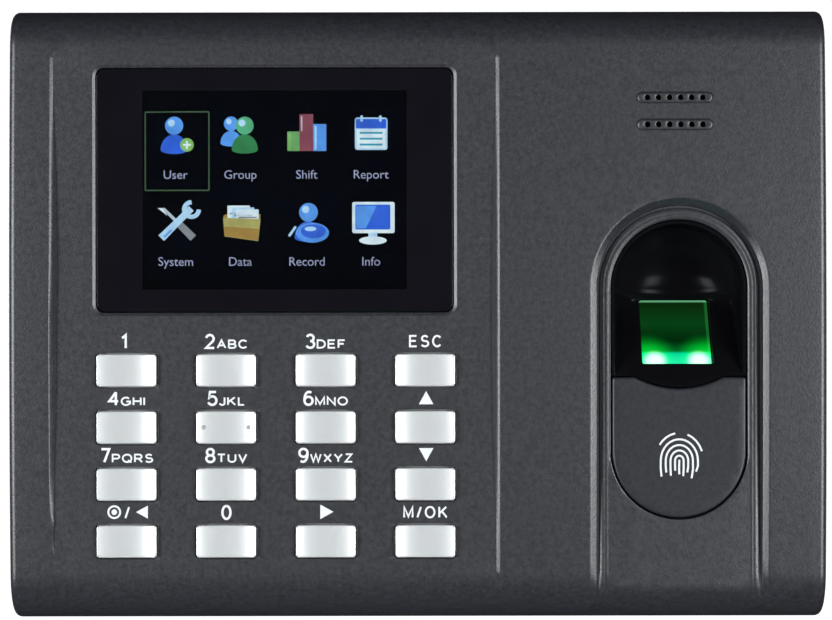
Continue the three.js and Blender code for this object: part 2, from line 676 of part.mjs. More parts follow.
// A lead along a smooth curve through the given points.
function lead(points, radius) {
  const path = new THREE.CatmullRomCurve3(points.map((p) => new THREE.Vector3(...p)));
  const section = new THREE.Shape().absarc(0, 0, radius, 0, 2 * Math.PI);
  const options = { steps: 18, extrudePath: path, curveSegments: 4, bevelEnabled: false };
  return solid(new THREE.ExtrudeGeometry(section, options));
}

add("main_board", mainBoard(), MATERIAL.board);
add("processor", chip(14, 30, 15, 15, 1.4), MATERIAL.chip);
add("memory_chip", chip(14, 9, 12, 18, 1.1), MATERIAL.chip);
add("lock_relay", box(-79.5, -60.5, ON_BOARD, -10.4, -12, 3.5), MATERIAL.relay);
add("coin_cell", rodY(-66, -34, ON_BOARD, ON_BOARD + 3.4, 10, 10, 28), MATERIAL.steel);
add("ethernet_jack", ethernetJack(), MATERIAL.steel);
add("dc_jack", dcJack(), MATERIAL.blackPart);
add("terminal_block", terminalBlock(), MATERIAL.terminal);
add("usb_port", usbPort(), MATERIAL.steel);
add("reset_switch", resetSwitch(), MATERIAL.blackPart);
add("reset_button", resetButton(), MATERIAL.key);
add("tamper_switch", tamperSwitch(), MATERIAL.blackPart);
add("tamper_plunger", tamperPlunger(), MATERIAL.key);
add("battery_pack", batteryPack(), MATERIAL.battery);

const batteryLead = [
  [-11.5, -14, 38],
  [-9, -14, 38.5],
  [-4, -17.5, 44],
  [-2, -22.5, 48],
  [-2, ON_BOARD, 48],
];
add("battery_wires", lead(batteryLead, 0.9), MATERIAL.cable);

// ---------------------------------------------------------------- speaker

function speakerFrame() {
  const outline = [
    [12.2, -32.5], [13.5, -32.5], [13.5, -31.6], [8.6, -27.8], [8.6, -27],
    [4, -27], [4, -28], [7.8, -28], [12.2, -31.4], [12.2, -32.5],
  ];
  return turnedY(SPEAKER.x, SPEAKER.z, outline);
}

function speakerCone() {
  const outline = [
    [0, -31.4], [3, -30.9], [4, -30.2], [11.8, -32.2],
    [11.8, -31.8], [4, -29.6], [0, -29.4], [0, -31.4],
  ];
  return turnedY(SPEAKER.x, SPEAKER.z, outline);
}

add("speaker_frame", speakerFrame(), MATERIAL.steel);
add("speaker_cone", speakerCone(), MATERIAL.cone);
add("speaker_magnet", rodY(SPEAKER.x, SPEAKER.z, -27 + GAP, -22.5, 8, 8, 24), MATERIAL.screw);

const speakerLead = [
  [47.6, -24.6, 44],
  [43, -24, 44],
  [35, -22.4, 43],
  [31.5, -23.6, 42],
  [31.5, ON_BOARD, 42],
];
add("speaker_wires", lead(speakerLead, 0.8), MATERIAL.cable);

// ---------------------------------------------------------------- fingerprint reader

const REST_BACK = CHANNEL_Y + REST.thick;

// The arch-topped plug that fills the upper part of the opening, down to bottomZ.
function archPrism(radius, bottomZ, y0, y1) {
  const points = [[ARCH.x - radius, bottomZ]];
  const steps = 24;
  for (let i = 0; i <= steps; i++) {
    const a = Math.PI * (1 - i / steps);
    points.push([ARCH.x + radius * Math.cos(a), ARCH.z + radius * Math.sin(a)]);
  }
  points.push([ARCH.x + radius, bottomZ]);
  return prismY(polygon(points), y0, y1);
}

function fingertipBowl(radius) {
  return solid(new THREE.SphereGeometry(radius, 40, 28).translate(ARCH.x, FINGERTIP.y, FINGERTIP.z));
}

// Everything round the reader that lies below a height.
const readerBelow = (topZ) => box(30, 90, -50, -5, -40, topZ);

// The space a finger takes: in front of the trough below, and inside the fingertip's bowl above.
function fingerSpace() {
  const column = archPrism(13.9, -22, FACE_Y - 3, -10);
  const ahead = inReader(readerBlock(40, -45, 45, TROUGH.depth, 60));
  const trough = troughTool(TROUGH.radius, 0).intersect(column);
  const reach = fingertipBowl(FINGERTIP.radius).add(readerBelow(5));
  return column.intersect(ahead).add(trough).intersect(reach);
}

function restOutline(radius, topZ) {
  const points = [];
  const steps = 24;
  for (let i = 0; i <= steps; i++) {
    const a = Math.PI * (1 + i / steps);
    points.push([ARCH.x + radius * Math.cos(a), OPENING.bottomZ + radius * Math.sin(a)]);
  }
  points.push([ARCH.x + radius, topZ], [ARCH.x - radius, topZ]);
  return polygon(points);
}

const notchTool = (radius) => rodY(ARCH.x, NOTCH.bottomZ + NOTCH.radius, FACE_Y - 2, -30, radius, radius, 96);

// The plate under the finger's first joint, flush with the channel and notched at its top.
function fingerRest() {
  const slab = prismY(restOutline(OPENING.radius - GAP, REST.topZ), CHANNEL_Y, REST_BACK);
  return slab.subtract(notchTool(NOTCH.radius));
}

// A glossy scoop of even wall thickness with a window for the glass; its tongue fills the rest's notch.
function sensorBezel() {
  const plug = archPrism(OPENING.radius - GAP, -21, CHANNEL_Y + GAP, -12);
  const skin = inReader(readerBlock(40, -45, 45, -SCOOP_WALL, 60));
  const shell = fingertipBowl(FINGERTIP.radius + SCOOP_WALL).add(readerBelow(6.5));
  const outer = plug.intersect(skin).intersect(shell);
  const hole = inReader(readerBlock(READER.width / 2, -READER.length / 2, READER.length / 2, -6, 6));
  const restSpace = prismY(restOutline(OPENING.radius + 1, REST.topZ + GAP), CHANNEL_Y - 1, REST_BACK + GAP);
  const keepClear = restSpace.subtract(notchTool(NOTCH.radius - GAP));
  return cut(outer, fingerSpace(), hole, keepClear, readerBelow(-17.2));
}

const reader = new THREE.Group();
reader.position.set(ARCH.x, READER.y, READER.z);
reader.rotation.x = THREE.MathUtils.degToRad(READER.tilt);
terminal.add(reader);

// Glass prism: its window stands in the scoop's hole, and its foot is cut square for the lamps.
function sensorPrism() {
  const [halfX, halfL] = [READER.width / 2 - 0.25, READER.length / 2 - 0.25];
  const neck = solid(readerBlock(halfX, -halfL, halfL, -3, -0.2));
  const bodyOutline = polygon([[-halfL, -2.4], [-halfL, -9], [0, -9.6], [halfL, -5], [halfL, -2.4]]);
  return neck.add(prismX(bodyOutline, -halfX, halfX));
}

function sensorHousing() {
  const block = solid(readerBlock(10.6, -12.6, 12, -13.6, -2));
  const cavity = solid(readerBlock(READER.width / 2 + 0.3, -11.2, 10.4, -13, 0));
  const eye = solid(readerBlock(4.2, -2, 6.4, -15, -12));
  return cut(block, cavity, eye);
}

function sensorLens() {
  const barrel = new THREE.CylinderGeometry(3, 3.4, 3.2, 20);
  return solid(barrel.rotateX(Math.PI / 2).translate(0, 2.2, -11.9));
}

function lamp(x) {
  return solid(readerBlock(1.5, -10.8, -9.6, -7.4, -4.6).translate(x, 0, 0));
}

function sensorBoard() {
  return solid(readerBlock(10.6, -12.6, 11.6, -15.4, -13.9));
}

// Flat ribbon from the reader's board to the main board.
function sensorCable() {
  const fold = polygon([
    [46.2, -12.8], [38, -12.8], [31.4, -19.5], [31.4, ON_BOARD],
    [30.6, ON_BOARD], [30.6, -19.2], [37.7, -12], [46.2, -12],
  ]);
  return prismZ(fold, -9, 3);
}

add("finger_rest", fingerRest(), MATERIAL.casing);
add("sensor_bezel", sensorBezel(), MATERIAL.scoop);
add("sensor_prism", sensorPrism(), MATERIAL.glass, reader);
add("sensor_housing", sensorHousing(), MATERIAL.blackPart, reader);
add("sensor_board", sensorBoard(), MATERIAL.board, reader);
add("sensor_led_left", lamp(-4.2), MATERIAL.led, reader);
add("sensor_led_right", lamp(4.2), MATERIAL.led, reader);
add("sensor_lens", sensorLens(), MATERIAL.blackPart, reader);
add("sensor_cable", sensorCable(), MATERIAL.cable);

// ---------------------------------------------------------------- fasteners

// A pan-head screw along Y with a cross recess: seat is the underside of its head, and it points to -Y.
function panScrew(x, z, seatY, length, radius, headRadius, headThick) {
  const head = turnedY(
    x,
    z,
    [[0, seatY], [headRadius, seatY], [headRadius, seatY + 0.5 * headThick],
     [0.7 * headRadius, seatY + headThick], [0, seatY + headThick]],
    18,
  );
  const shank = rodY(x, z, seatY - length, seatY + 0.1, radius, radius, 12);
  const arm = 0.62 * headRadius;
  const deep = seatY + 0.35 * headThick;
  const top = seatY + headThick + 1;
  return cut(
    union(head, shank),
    box(x - arm, x + arm, deep, top, z - 0.3, z + 0.3),
    box(x - 0.3, x + 0.3, deep, top, z - arm, z + arm),
  );
}

CORNERS.forEach(([x, z], i) => {
  add(`cover_screw_${i + 1}`, panScrew(x, z, -5 + GAP, 17, 1.5, 2.9, 2.1), MATERIAL.screw);
});
STANDOFFS.forEach(([x, z], i) => {
  add(`board_screw_${i + 1}`, panScrew(x, z, BOARD_BACK + GAP, 5.6, 1, 2.2, 1.6), MATERIAL.screw);
});

// Locking screw, driven up through the lower edge into the plate's tab.
function plateScrew() {
  const { y, headZ, seatZ, tipZ } = LOCK_SCREW;
  const head = rodZ(0, y, headZ, seatZ - GAP, 2.9, 18);
  const shank = rodZ(0, y, headZ + 1, tipZ, 1.5, 12);
  const socket = rodZ(0, y, headZ - 1, headZ + 0.8, 1.4, 6);
  return cut(union(head, shank), socket);
}

add("plate_screw", plateScrew(), MATERIAL.screw);

export default terminal;
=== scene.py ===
"""Fingerprint scanner terminal: fine visual meshes, materials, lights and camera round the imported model.

Lengths are millimetres in the row's frame, and become metres where a mesh is made.
"""

import json
import math

import bmesh
import bpy
import numpy as np
from mathutils import Matrix, Vector
from mathutils.geometry import delaunay_2d_cdt


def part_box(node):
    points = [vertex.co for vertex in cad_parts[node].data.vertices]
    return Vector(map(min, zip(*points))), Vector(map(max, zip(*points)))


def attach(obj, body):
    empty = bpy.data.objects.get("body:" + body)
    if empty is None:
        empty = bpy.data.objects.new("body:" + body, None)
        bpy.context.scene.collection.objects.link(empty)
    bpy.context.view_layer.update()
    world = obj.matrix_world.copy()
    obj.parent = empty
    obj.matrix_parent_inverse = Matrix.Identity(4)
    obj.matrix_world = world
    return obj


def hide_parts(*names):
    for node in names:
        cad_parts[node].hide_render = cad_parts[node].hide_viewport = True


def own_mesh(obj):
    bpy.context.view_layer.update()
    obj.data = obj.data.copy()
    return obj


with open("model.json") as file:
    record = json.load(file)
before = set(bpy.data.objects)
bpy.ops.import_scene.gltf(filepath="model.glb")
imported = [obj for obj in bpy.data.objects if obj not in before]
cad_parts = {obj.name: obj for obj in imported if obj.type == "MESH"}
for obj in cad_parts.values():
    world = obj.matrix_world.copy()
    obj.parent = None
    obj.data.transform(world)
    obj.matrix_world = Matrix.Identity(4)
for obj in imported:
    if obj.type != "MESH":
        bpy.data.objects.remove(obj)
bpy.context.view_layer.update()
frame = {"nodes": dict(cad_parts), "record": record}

MM = 0.001


def box_mm(node):
    """Lowest and highest corner of a CAD node, in millimetres."""
    low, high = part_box(node)
    return low / MM, high / MM


def middle(node):
    low, high = box_mm(node)
    return (low + high) / 2


# ------------ dimensions, from the frame

COVER_LOW, COVER_HIGH = box_mm("front_cover")
HALF_W, HALF_H = COVER_HIGH.x, COVER_HIGH.z
FACE_Y, SPLIT_Y = COVER_LOW.y, COVER_HIGH.y
WALL = 2.0

FACE_RADIUS = 900.0  # bulge of the front from top to bottom
FACE_TOP, FACE_BOTTOM = 59.2, 57.0  # where the rolled edges start, above and below the middle
ROLL_TOP_Y, ROLL_BOTTOM_Y = -26.2, -24.1  # how far back the rolled edges reach
END_ROUND = 1.5
FACE_COLUMNS, FACE_ROWS, ROLL_ROWS, SIDE_ROWS, BORDER_COLUMNS = 62, 42, 15, 6, 46  # how fine the mesh is

WINDOW_LOW, WINDOW_HIGH = box_mm("lcd_window")
WINDOW_R, WINDOW_GAP = 1.8, 0.25
PANEL_Y = WINDOW_LOW.y - 0.1
PANEL_X = (WINDOW_LOW.x + WINDOW_HIGH.x) / 2
PANEL_HALF = 49.7

REST_LOW, REST_HIGH = box_mm("finger_rest")
CHANNEL_Y = REST_LOW.y
SLOT = 0.3  # gap round the pieces in the channel
ARCH_X = (REST_LOW.x + REST_HIGH.x) / 2
PLUG_R = (REST_HIGH.x - REST_LOW.x) / 2
OPENING_R = PLUG_R + SLOT
ARCH_Z = box_mm("sensor_bezel")[1].z - PLUG_R
REST_BOTTOM_Z = REST_LOW.z + PLUG_R
ARCH_R = 20.0
GROOVE_IN, BEAD_AT, BEAD_HALF = 1.94, 3.6, 1.25
GROOVE_DEEP, GROOVE_BACK = 0.5, 0.35  # depth, and the width over which it rises towards the bead
GROOVE_START = 0.4  # the groove has its full depth where the channel is deeper than this
BEAD_INNER = 0.6  # how far the bead falls on its inner side, as a share of the groove
BEAD_LINE, BEAD_LINE_HALF = 0.12, 0.4  # the faint line along the bead: its depth as a share, half its width
WALL_AT = (0.0, 0.3, 0.45, 0.6, 1.65, GROOVE_IN - 0.22)  # the channel wall's slope, by distance from its edge
WALL_SINK = (0.0, 0.02, 0.06, 0.12, 0.58, 0.63)
STEEP_AT = (GROOVE_IN - 0.22, GROOVE_IN - 0.15, GROOVE_IN - 0.08, GROOVE_IN)
STEEP_SHARE = (0.0, 0.2, 0.6, 1.0)
WALL_STEEPER = 3.0  # how much more the slope falls at the top of the arch
CHANNEL_RINGS = (  # where the channel's surface has lines, besides those of its wall
    1.1, 2.05, 2.17, 2.29, 2.37, 2.5, 2.7, 2.95, 3.2, 3.33, 3.47, 3.6, 3.73, 3.87, 4.0, 4.2, 4.5,
)
CHANNEL_END = -66.0  # the channel's lines run on to here, round the lower edge
FLANK_AT = (0.0, 0.12, 0.3, 0.95, 2.3)  # the panel's flanks, by distance from their edge
FLANK_SINK = (0.0, 0.01, 0.06, 0.33, 0.33)
FLANK_FALL = 1.5  # slope of the steep part, inwards of the line
FLANK_FADE = 9.0  # where the panel is level with the face, the flank's line rises again over this distance
FLANK_END = 57.5
LEFT_FLANK_Z = (-57.0, -46.0, -36.0, -2.0, 14.0)  # the left flank is fainter at the foot and steeper above it
LEFT_FLANK_SHARE = (0.3, 0.4, 2.1, 2.1, 1.0)

KEYS = {
    "key_1": "1", "key_2": "2ABC", "key_3": "3DEF", "key_esc": "ESC",
    "key_4": "4GHI", "key_5": "5JKL", "key_6": "6MNO", "key_up": "up",
    "key_7": "7PQRS", "key_8": "8TUV", "key_9": "9WXYZ", "key_down": "down",
    "key_left": "power/left", "key_0": "0", "key_right": "right", "key_ok": "M/OK",
}
KEY_W, KEY_H, KEY_R = 13.1, 7.1, 0.65
KEY_GAP = 0.35
KEY_FRONT = PANEL_Y - 1.2
KEY_DISH_R = 23.0
KEY_DEEP = 3.55  # from the CAD key's front to the cap's back
KEY_EASE, KEY_STEP = 0.28, 0.4
FLANGE_OUT, FLANGE_DEEP, STEM_R, PART_GAP = 1.1, 1.16, 1.5, 0.02
DOT_AT, DOT_R, DOT_RISE, DOT_SUNK = 5.0, 0.52, 0.3, 0.08  # the two raised dots on the middle key
DOT_SHARES = (1.0, 0.97, 0.88, 0.74, 0.55, 0.33, 0.12)  # radii of a dot's rings
DOME_RADII = (2.8, 2.55, 1.95, 1.7)
LEGEND_UP = 6.35
DIGIT_SIZE, LETTER_SIZE, WORD_SIZE = 2.85, 1.65, 2.3
DIGIT_PEN, LETTER_PEN, WORD_PEN, DIGIT_APART = 0.52, 0.37, 0.42, 0.75
LETTER_STRETCH, LETTER_APART = 1.38, 0.46
ARROW_SIZE = 2.9

SPEAKER = middle("speaker_frame")
PILL_ROWS = (SPEAKER.z + 2.98, SPEAKER.z - 2.98)
PILL_W, PILL_H, PILL_R, PILL_PROUD = 16.8, 2.6, 1.25, 0.5
PILL_RINGS = (0.0, 0.03, 0.12, 0.28, 0.45, 0.6)  # a pill's edge is rounded from the first to the last
HOLE_COUNT, HOLE_PITCH, HOLE_R = 6, 2.43, 0.62
USB_W, USB_IN = 13.2, 0.6

READER_TILT = math.radians(52.07)
READER_MIDDLE = Vector((ARCH_X, -24.55, -3.75))
GLASS_W, GLASS_L = 15.8, 18.4
TROUGH_R, TROUGH_DEEP = 31.0, 1.54
NOTCH_R, NOTCH_SAG = 20.07, 2.5  # the rest's top edge dips by this where the finger lies
RIDGES = ((0.95, 2.2, 3.4), (1.95, 3.3, 2.6), (3.0, 2.6, 3.9), (4.1, 3.5, 2.4))  # radius, left and right legs
RIDGE_PEN = 0.42
REST_EASE, REST_GAP, REST_CORNER = 0.55, 0.08, 0.5
BOWL_R, BOWL_Y, BOWL_Z = 15.2, -33.8, 5.2
SCOOP_LIP, SCOOP_FALL = 0.7, 13.0  # width of the level lip and slope of the wall inside it
LIP_EASE, FOOT_EASE, BOWL_EASE = 0.5, 1.6, 5.0  # how softly the scoop's surfaces run into each other
SCOOP_WALL = 1.3
SCOOP_RINGS = (0.2, 0.45, 0.6, 0.72, 0.84, 0.98, 1.15, 1.35, 1.6, 1.9, 2.3, 2.8)
PRISM_GAP = 0.25
PRISM_RINGS = ((0.35, -0.2), (0.1, -0.28), (0.0, -0.5), (0.0, -2.9), (0.02, -5.0))  # inset, and how far out

SCREEN_LOW, SCREEN_HIGH = box_mm("lcd_panel")
SCREEN = (SCREEN_LOW + SCREEN_HIGH) / 2
LIT_W, LIT_H = 57.6, 43.2
SIGHT_OUT, PANE_GAP = 0.3, 0.01  # the clear sight reaches past the lit area, and the pane nearly fills it


# ------------ outlines in the X-Z plane


def arc(cx, cz, radius, start, end, steps):
    turn = np.radians(np.linspace(start, end, steps + 1))
    return np.column_stack((cx + radius * np.cos(turn), cz + radius * np.sin(turn)))


def circle(cx, cz, radius, sides=24):
    return arc(cx, cz, radius, 0, 360 - 360 / sides, sides - 1)


def bar(x0, z0, x1, z1):
    return np.array([(x0, z0), (x1, z0), (x1, z1), (x0, z1)])


def upright(x, zs):
    """An open line that runs along z."""
    return np.column_stack((np.full(len(zs), x), zs))


def rounded_rect(cx, cz, width, height, radius, steps=6):
    hx, hz = width / 2 - radius, height / 2 - radius
    corners = ((1, 1, 0), (-1, 1, 90), (-1, -1, 180), (1, -1, 270))
    return np.vstack([
        arc(cx + sx * hx, cz + sz * hz, radius, start, start + 90, steps) for sx, sz, start in corners
    ])


def subdivided(outline, longest):
    """The closed outline with no side longer than that."""
    points = []
    for a, b in zip(outline, np.roll(outline, -1, axis=0)):
        count = max(1, math.ceil(np.linalg.norm(b - a) / longest))
        points += [a + (b - a) * i / count for i in range(count)]
    return np.array(points)


def unit(rows):
    return rows / np.linalg.norm(rows, axis=1, keepdims=True)


def grown(outline, amount):
    """A closed outline, counter-clockwise, moved outwards, or inwards where amount is negative."""
    before = unit(outline - np.roll(outline, 1, axis=0))
    after = unit(np.roll(outline, -1, axis=0) - outline)
    mean = unit(before + after)
    out = np.column_stack((mean[:, 1], -mean[:, 0]))
    share = np.maximum((mean * after).sum(axis=1), 0.5)
    return outline + out * (amount / share)[:, None]


def arch_line(radius, bottom, steps=40, side_step=3.0):
    """An open line: up the left side, round the arch, and down the right side."""
    count = max(1, round((ARCH_Z - bottom) / side_step))
    side = np.linspace(bottom, ARCH_Z, count + 1)[:-1]
    top = arc(ARCH_X, ARCH_Z, radius, 180, 0, steps)
    return np.vstack((upright(ARCH_X - radius, side), top, upright(ARCH_X + radius, side[::-1])))


def arch_distance(x, z):
    """Distance from the arch's centre, or from the line below it."""
    return np.where(z > ARCH_Z, np.hypot(x - ARCH_X, z - ARCH_Z), np.abs(x - ARCH_X))


def opening_outline(radius):
    """The closed stadium of the finger channel's opening, counter-clockwise."""
    upper = arc(ARCH_X, ARCH_Z, radius, 0, 180, 40)
    lower = arc(ARCH_X, REST_BOTTOM_Z, radius, 180, 360, 40)
    return subdivided(np.vstack((upper, lower)), 2.5)


def inside(outline, points):
    """Which of the points lie inside the closed outline."""
    x, z = points[:, 0], points[:, 1]
    hit = np.zeros(len(points), bool)
    for (ax, az), (bx, bz) in zip(outline, np.roll(outline, -1, axis=0)):
        spans = (az > z) != (bz > z)
        if spans.any():
            at = ax + (z[spans] - az) * (bx - ax) / (bz - az)
            hit[spans] ^= x[spans] < at
    return hit


# ------------ mesh making


def placed(name, data):
    """A new object in the scene."""
    made = bpy.data.objects.new(name, data)
    bpy.context.scene.collection.objects.link(made)
    return made


def make_piece(name, verts, faces, material, body="casing", slot=None, replaces=(), sharp=38, weighted=False):
    """A mesh piece from millimetre vertices, shaded smooth up to an angle, riding on a body."""
    mesh = bpy.data.meshes.new(name)
    mesh.from_pydata((np.asarray(verts, float) * MM).tolist(), [], [list(f) for f in faces])
    made = bmesh.new()
    made.from_mesh(mesh)
    bmesh.ops.recalc_face_normals(made, faces=made.faces)
    made.to_mesh(mesh)
    made.free()
    mesh.polygons.foreach_set("use_smooth", [True] * len(mesh.polygons))
    mesh.set_sharp_from_angle(angle=math.radians(sharp))
    piece = placed(name, mesh)
    for one in material if isinstance(material, (list, tuple)) else [material]:
        mesh.materials.append(one)
    if weighted:
        modifier = piece.modifiers.new("weighted", "WEIGHTED_NORMAL")
        modifier.keep_sharp = True
    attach(piece, body)
    if replaces:
        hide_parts(*replaces)
    return piece


class Build:
    """Vertices and faces of one piece, gathered from several closed bodies."""

    def __init__(self):
        self.verts = []
        self.faces = []
        self.paint = []

    def add(self, verts, faces, paint=0):
        base = len(self.verts)
        self.verts.extend(np.asarray(verts, float).tolist())
        self.faces.extend([[i + base for i in face] for face in faces])
        self.paint.extend([paint] * len(faces))

    def piece(self, name, material, **options):
        made = make_piece(name, self.verts, self.faces, material, **options)
        if any(self.paint):
            made.data.polygons.foreach_set("material_index", self.paint)
        return made


def triangulated(lines, loose, outline, holes):
    """Triangles over an outline less its holes. lines are (points, closed, lift); a point's lift is kept."""
    coords, edges, lifts = [], [], []
    for points, closed, lift in lines:
        base, count = len(coords), len(points)
        coords += [tuple(p) for p in points]
        lifts += list(np.broadcast_to(lift, count))
        edges += [(base + i, base + (i + 1) % count) for i in range(count if closed else count - 1)]
    coords += [tuple(p) for p in loose]
    lifts += [0.0] * len(loose)
    found = delaunay_2d_cdt([Vector(c) for c in coords], edges, [], 0, 1e-4, True)
    flat = np.array([tuple(v) for v in found[0]])
    tris = np.array(found[2])
    lift = np.array([max((lifts[i] for i in origin), default=0.0) for origin in found[3]])
    centres = flat[tris].mean(axis=1)
    keep = np.ones(len(tris), bool) if outline is None else inside(outline, centres)
    for hole in holes:
        keep &= ~inside(hole, centres)
    tris = tris[keep]
    a, b, c = (flat[tris[:, k]] for k in range(3))
    area = (b[:, 0] - a[:, 0]) * (c[:, 1] - a[:, 1]) - (b[:, 1] - a[:, 1]) * (c[:, 0] - a[:, 0])
    tris[area < 0] = tris[area < 0][:, ::-1]
    tris = tris[np.abs(area) > 1e-7]
    used, tris = np.unique(tris, return_inverse=True)
    return flat[used], tris.reshape(-1, 3), lift[used]


def closed_body(flat, tris, front, back, skip=None):
    """The front surface, the back surface and the walls between them, where skip(a, b) doesn't say no."""
    count = len(flat)
    verts = np.vstack((front, back))
    faces = tris.tolist() + (tris[:, ::-1] + count).tolist()
    directed = {(t[k], t[(k + 1) % 3]) for t in tris.tolist() for k in range(3)}
    for a, b in sorted(directed):
        if (b, a) not in directed and not (skip and skip(flat[a], flat[b])):
            faces.append([b, a, a + count, b + count])
    return verts, faces


def grid_points(x0, x1, z0, z1, step):
    xs, zs = (np.linspace(a, b, max(2, round((b - a) / step) + 1))[1:-1] for a, b in ((x0, x1), (z0, z1)))
    return np.array([(x, z) for x in xs for z in zs]).reshape(-1, 2)


EDGE_STEPS = ((0.0, 1.0), (0.08, 0.62), (0.29, 0.29), (0.62, 0.08), (1.0, 0.0))


def slab(outline, front_at, back_at, round_edge, step=2.0, holes=()):
    """A closed plate with a rounded front edge. front_at and back_at give y over x and z."""
    lines = [(grown(outline, -inset * round_edge), True, drop * round_edge) for inset, drop in EDGE_STEPS]
    lines += [(hole, True, 0.0) for hole in holes]
    low, high = outline.min(axis=0), outline.max(axis=0)
    loose = grid_points(low[0], high[0], low[1], high[1], step)
    loose = loose[inside(grown(outline, -round_edge - 0.1), loose)]
    for hole in holes:
        loose = loose[~inside(grown(hole, 0.1), loose)]
    flat, tris, lift = triangulated(lines, loose, outline, holes)
    x, z = flat[:, 0], flat[:, 1]
    front = np.column_stack((x, front_at(x, z) + lift, z))
    back = np.column_stack((x, back_at(x, z), z))
    return closed_body(flat, tris, front, back)


def level(y):
    return lambda x, z: np.full(np.shape(x), float(y))


def loft(rings):
    """A closed body through rings of equal length."""
    count = len(rings[0])
    verts = np.vstack(rings)
    faces = []
    for k in range(len(rings) - 1):
        for i in range(count):
            j = (i + 1) % count
            faces.append([k * count + i, k * count + j, (k + 1) * count + j, (k + 1) * count + i])
    faces.append(list(range(count))[::-1])
    faces.append([(len(rings) - 1) * count + i for i in range(count)])
    return verts, faces


def ring_y(outline, y):
    return np.column_stack((outline[:, 0], np.full(len(outline), float(y)), outline[:, 1]))


# ------------ materials


class Shading:
    """One material while its nodes are put together."""

    def __init__(self, name):
        self.material = bpy.data.materials.new(name)
        self.material.use_nodes = True
        self.nodes = self.material.node_tree.nodes
        self.links = self.material.node_tree.links
        self.coords = self.nodes.new("ShaderNodeTexCoord").outputs["Object"]

    def feed(self, node, inputs):
        """Gives each named input a value, or links it to another node's output."""
        for name, value in inputs.items():
            if isinstance(value, bpy.types.NodeSocket):
                self.links.new(value, node.inputs[name])
            else:
                node.inputs[name].default_value = value
        return node.outputs

    def noise(self, scale, detail=3.0, roughness=0.5):
        texture = self.nodes.new("ShaderNodeTexNoise")
        inputs = {"Vector": self.coords, "Scale": scale, "Detail": detail, "Roughness": roughness}
        return self.feed(texture, inputs)["Fac"]

    def ramp(self, value, stops):
        made = self.nodes.new("ShaderNodeValToRGB")
        elements = made.color_ramp.elements
        while len(elements) < len(stops):
            elements.new(0.5)
        for element, (at, colour) in zip(elements, stops):
            element.position = at
            element.color = (*colour, 1.0)
        return self.feed(made, {"Fac": value})["Color"]

    def tint(self, patches, colour, vary):
        """A colour that is darker in some patches and brighter in others."""
        return self.ramp(patches, [(0.3, shade(colour, 1 - vary)), (0.7, shade(colour, 1 + vary))])

    def spread(self, value, start, end, low=0.0, high=1.0, kind="LINEAR"):
        """Low where the value is at the start of its range, high where it is at the end."""
        made = self.nodes.new("ShaderNodeMapRange")
        made.interpolation_type = kind
        inputs = {"Value": value, "From Min": start, "From Max": end, "To Min": low, "To Max": high}
        return self.feed(made, inputs)["Result"]

    def measure(self, operation, vector):
        """A number from the place on the object and another vector."""
        made = self.nodes.new("ShaderNodeVectorMath")
        made.operation = operation
        return self.feed(made, {0: self.coords, 1: vector})["Value"]

    def brighten(self, base, colour, share):
        """A share of another colour added to a colour."""
        made = self.nodes.new("ShaderNodeMix")
        made.data_type = "RGBA"
        made.blend_type = "ADD"
        return self.feed(made, {"Factor": share, "A": base, "B": (*colour, 1.0)})["Result"]

    def finish(self, inputs):
        """The material, with its shader's inputs."""
        self.feed(self.nodes["Principled BSDF"], inputs)
        return self.material


def shade(colour, factor):
    return tuple(min(1.0, c * factor) for c in colour)


def moulded(
    name, colour, roughness, grain=3500.0, bump=0.1, deep=0.05, vary=0.12, metallic=0.0, coat=0.0,
    mottle=90.0, specular=0.5, uneven=0.05,
):
    """Plastic, rubber or plate: mottled colour, uneven roughness and a fine grain in the surface."""
    made = Shading(name)
    patches = made.noise(mottle, 4.0, 0.6)
    grainy = made.noise(grain, 2.0, 0.6)
    bumped = made.nodes.new("ShaderNodeBump")
    smooth, rough = max(0.02, roughness - uneven), min(1.0, roughness + uneven)
    return made.finish({
        "Base Color": made.tint(patches, colour, vary),
        "Roughness": made.spread(patches, 0.25, 0.75, smooth, rough),
        "Normal": made.feed(bumped, {"Height": grainy, "Strength": bump, "Distance": deep * MM})["Normal"],
        "Metallic": metallic,
        "Specular IOR Level": specular,
        "Coat Weight": coat,
        "Coat Roughness": 0.06,
    })


def glowing(name, colour, strength, vary=0.15):
    """Lit display ink: an emission that is a little uneven from place to place."""
    made = Shading(name)
    return made.finish({
        "Base Color": (0.0, 0.0, 0.0, 1.0),
        "Emission Color": made.tint(made.noise(320.0, 2.0), colour, vary),
        "Emission Strength": strength,
        "Roughness": 0.6,
    })


def clear_glass(name):
    made = Shading(name)
    return made.finish({
        "Base Color": (0.9, 0.92, 0.95, 1.0),
        "Roughness": made.spread(made.noise(60.0), 0.0, 1.0, 0.0, 0.03),
        "Transmission Weight": 1.0,
        "Specular IOR Level": 0.2,
        "IOR": 1.49,
    })


PRISM_GLOW = (  # share of the glass's height, from its foot up, and the colour there
    (0.0, (0.02, 0.8, 0.42)), (0.15, (0.0, 0.62, 0.3)), (0.19, (0.0, 0.1, 0.015)),
    (0.34, (0.0, 0.016, 0.002)), (0.62, (0.002, 0.046, 0.006)), (0.9, (0.003, 0.02, 0.003)),
    (0.93, (0.003, 0.016, 0.003)), (0.955, (0.12, 0.4, 0.2)), (0.985, (0.12, 0.4, 0.2)),
)
HOT_SPOTS = (  # distance to either side, height over the foot, outer and inner radius, colour
    (6.6, 1.0, 8.6, 0.5, (0.0, 0.62, 0.03)),
    (4.9, 1.1, 3.5, 1.0, (0.9, 0.95, 0.9)),
)
EDGE_GLOW = (0.02, 0.2, 0.04)  # a line of light along the right edge
EDGE_START, EDGE_FULL, EDGE_SHARE = 1.15, 0.75, 0.4
GLOW_START, GLOW_FULL = 0.75, 0.55  # depths below the glass's face between which the glow comes up


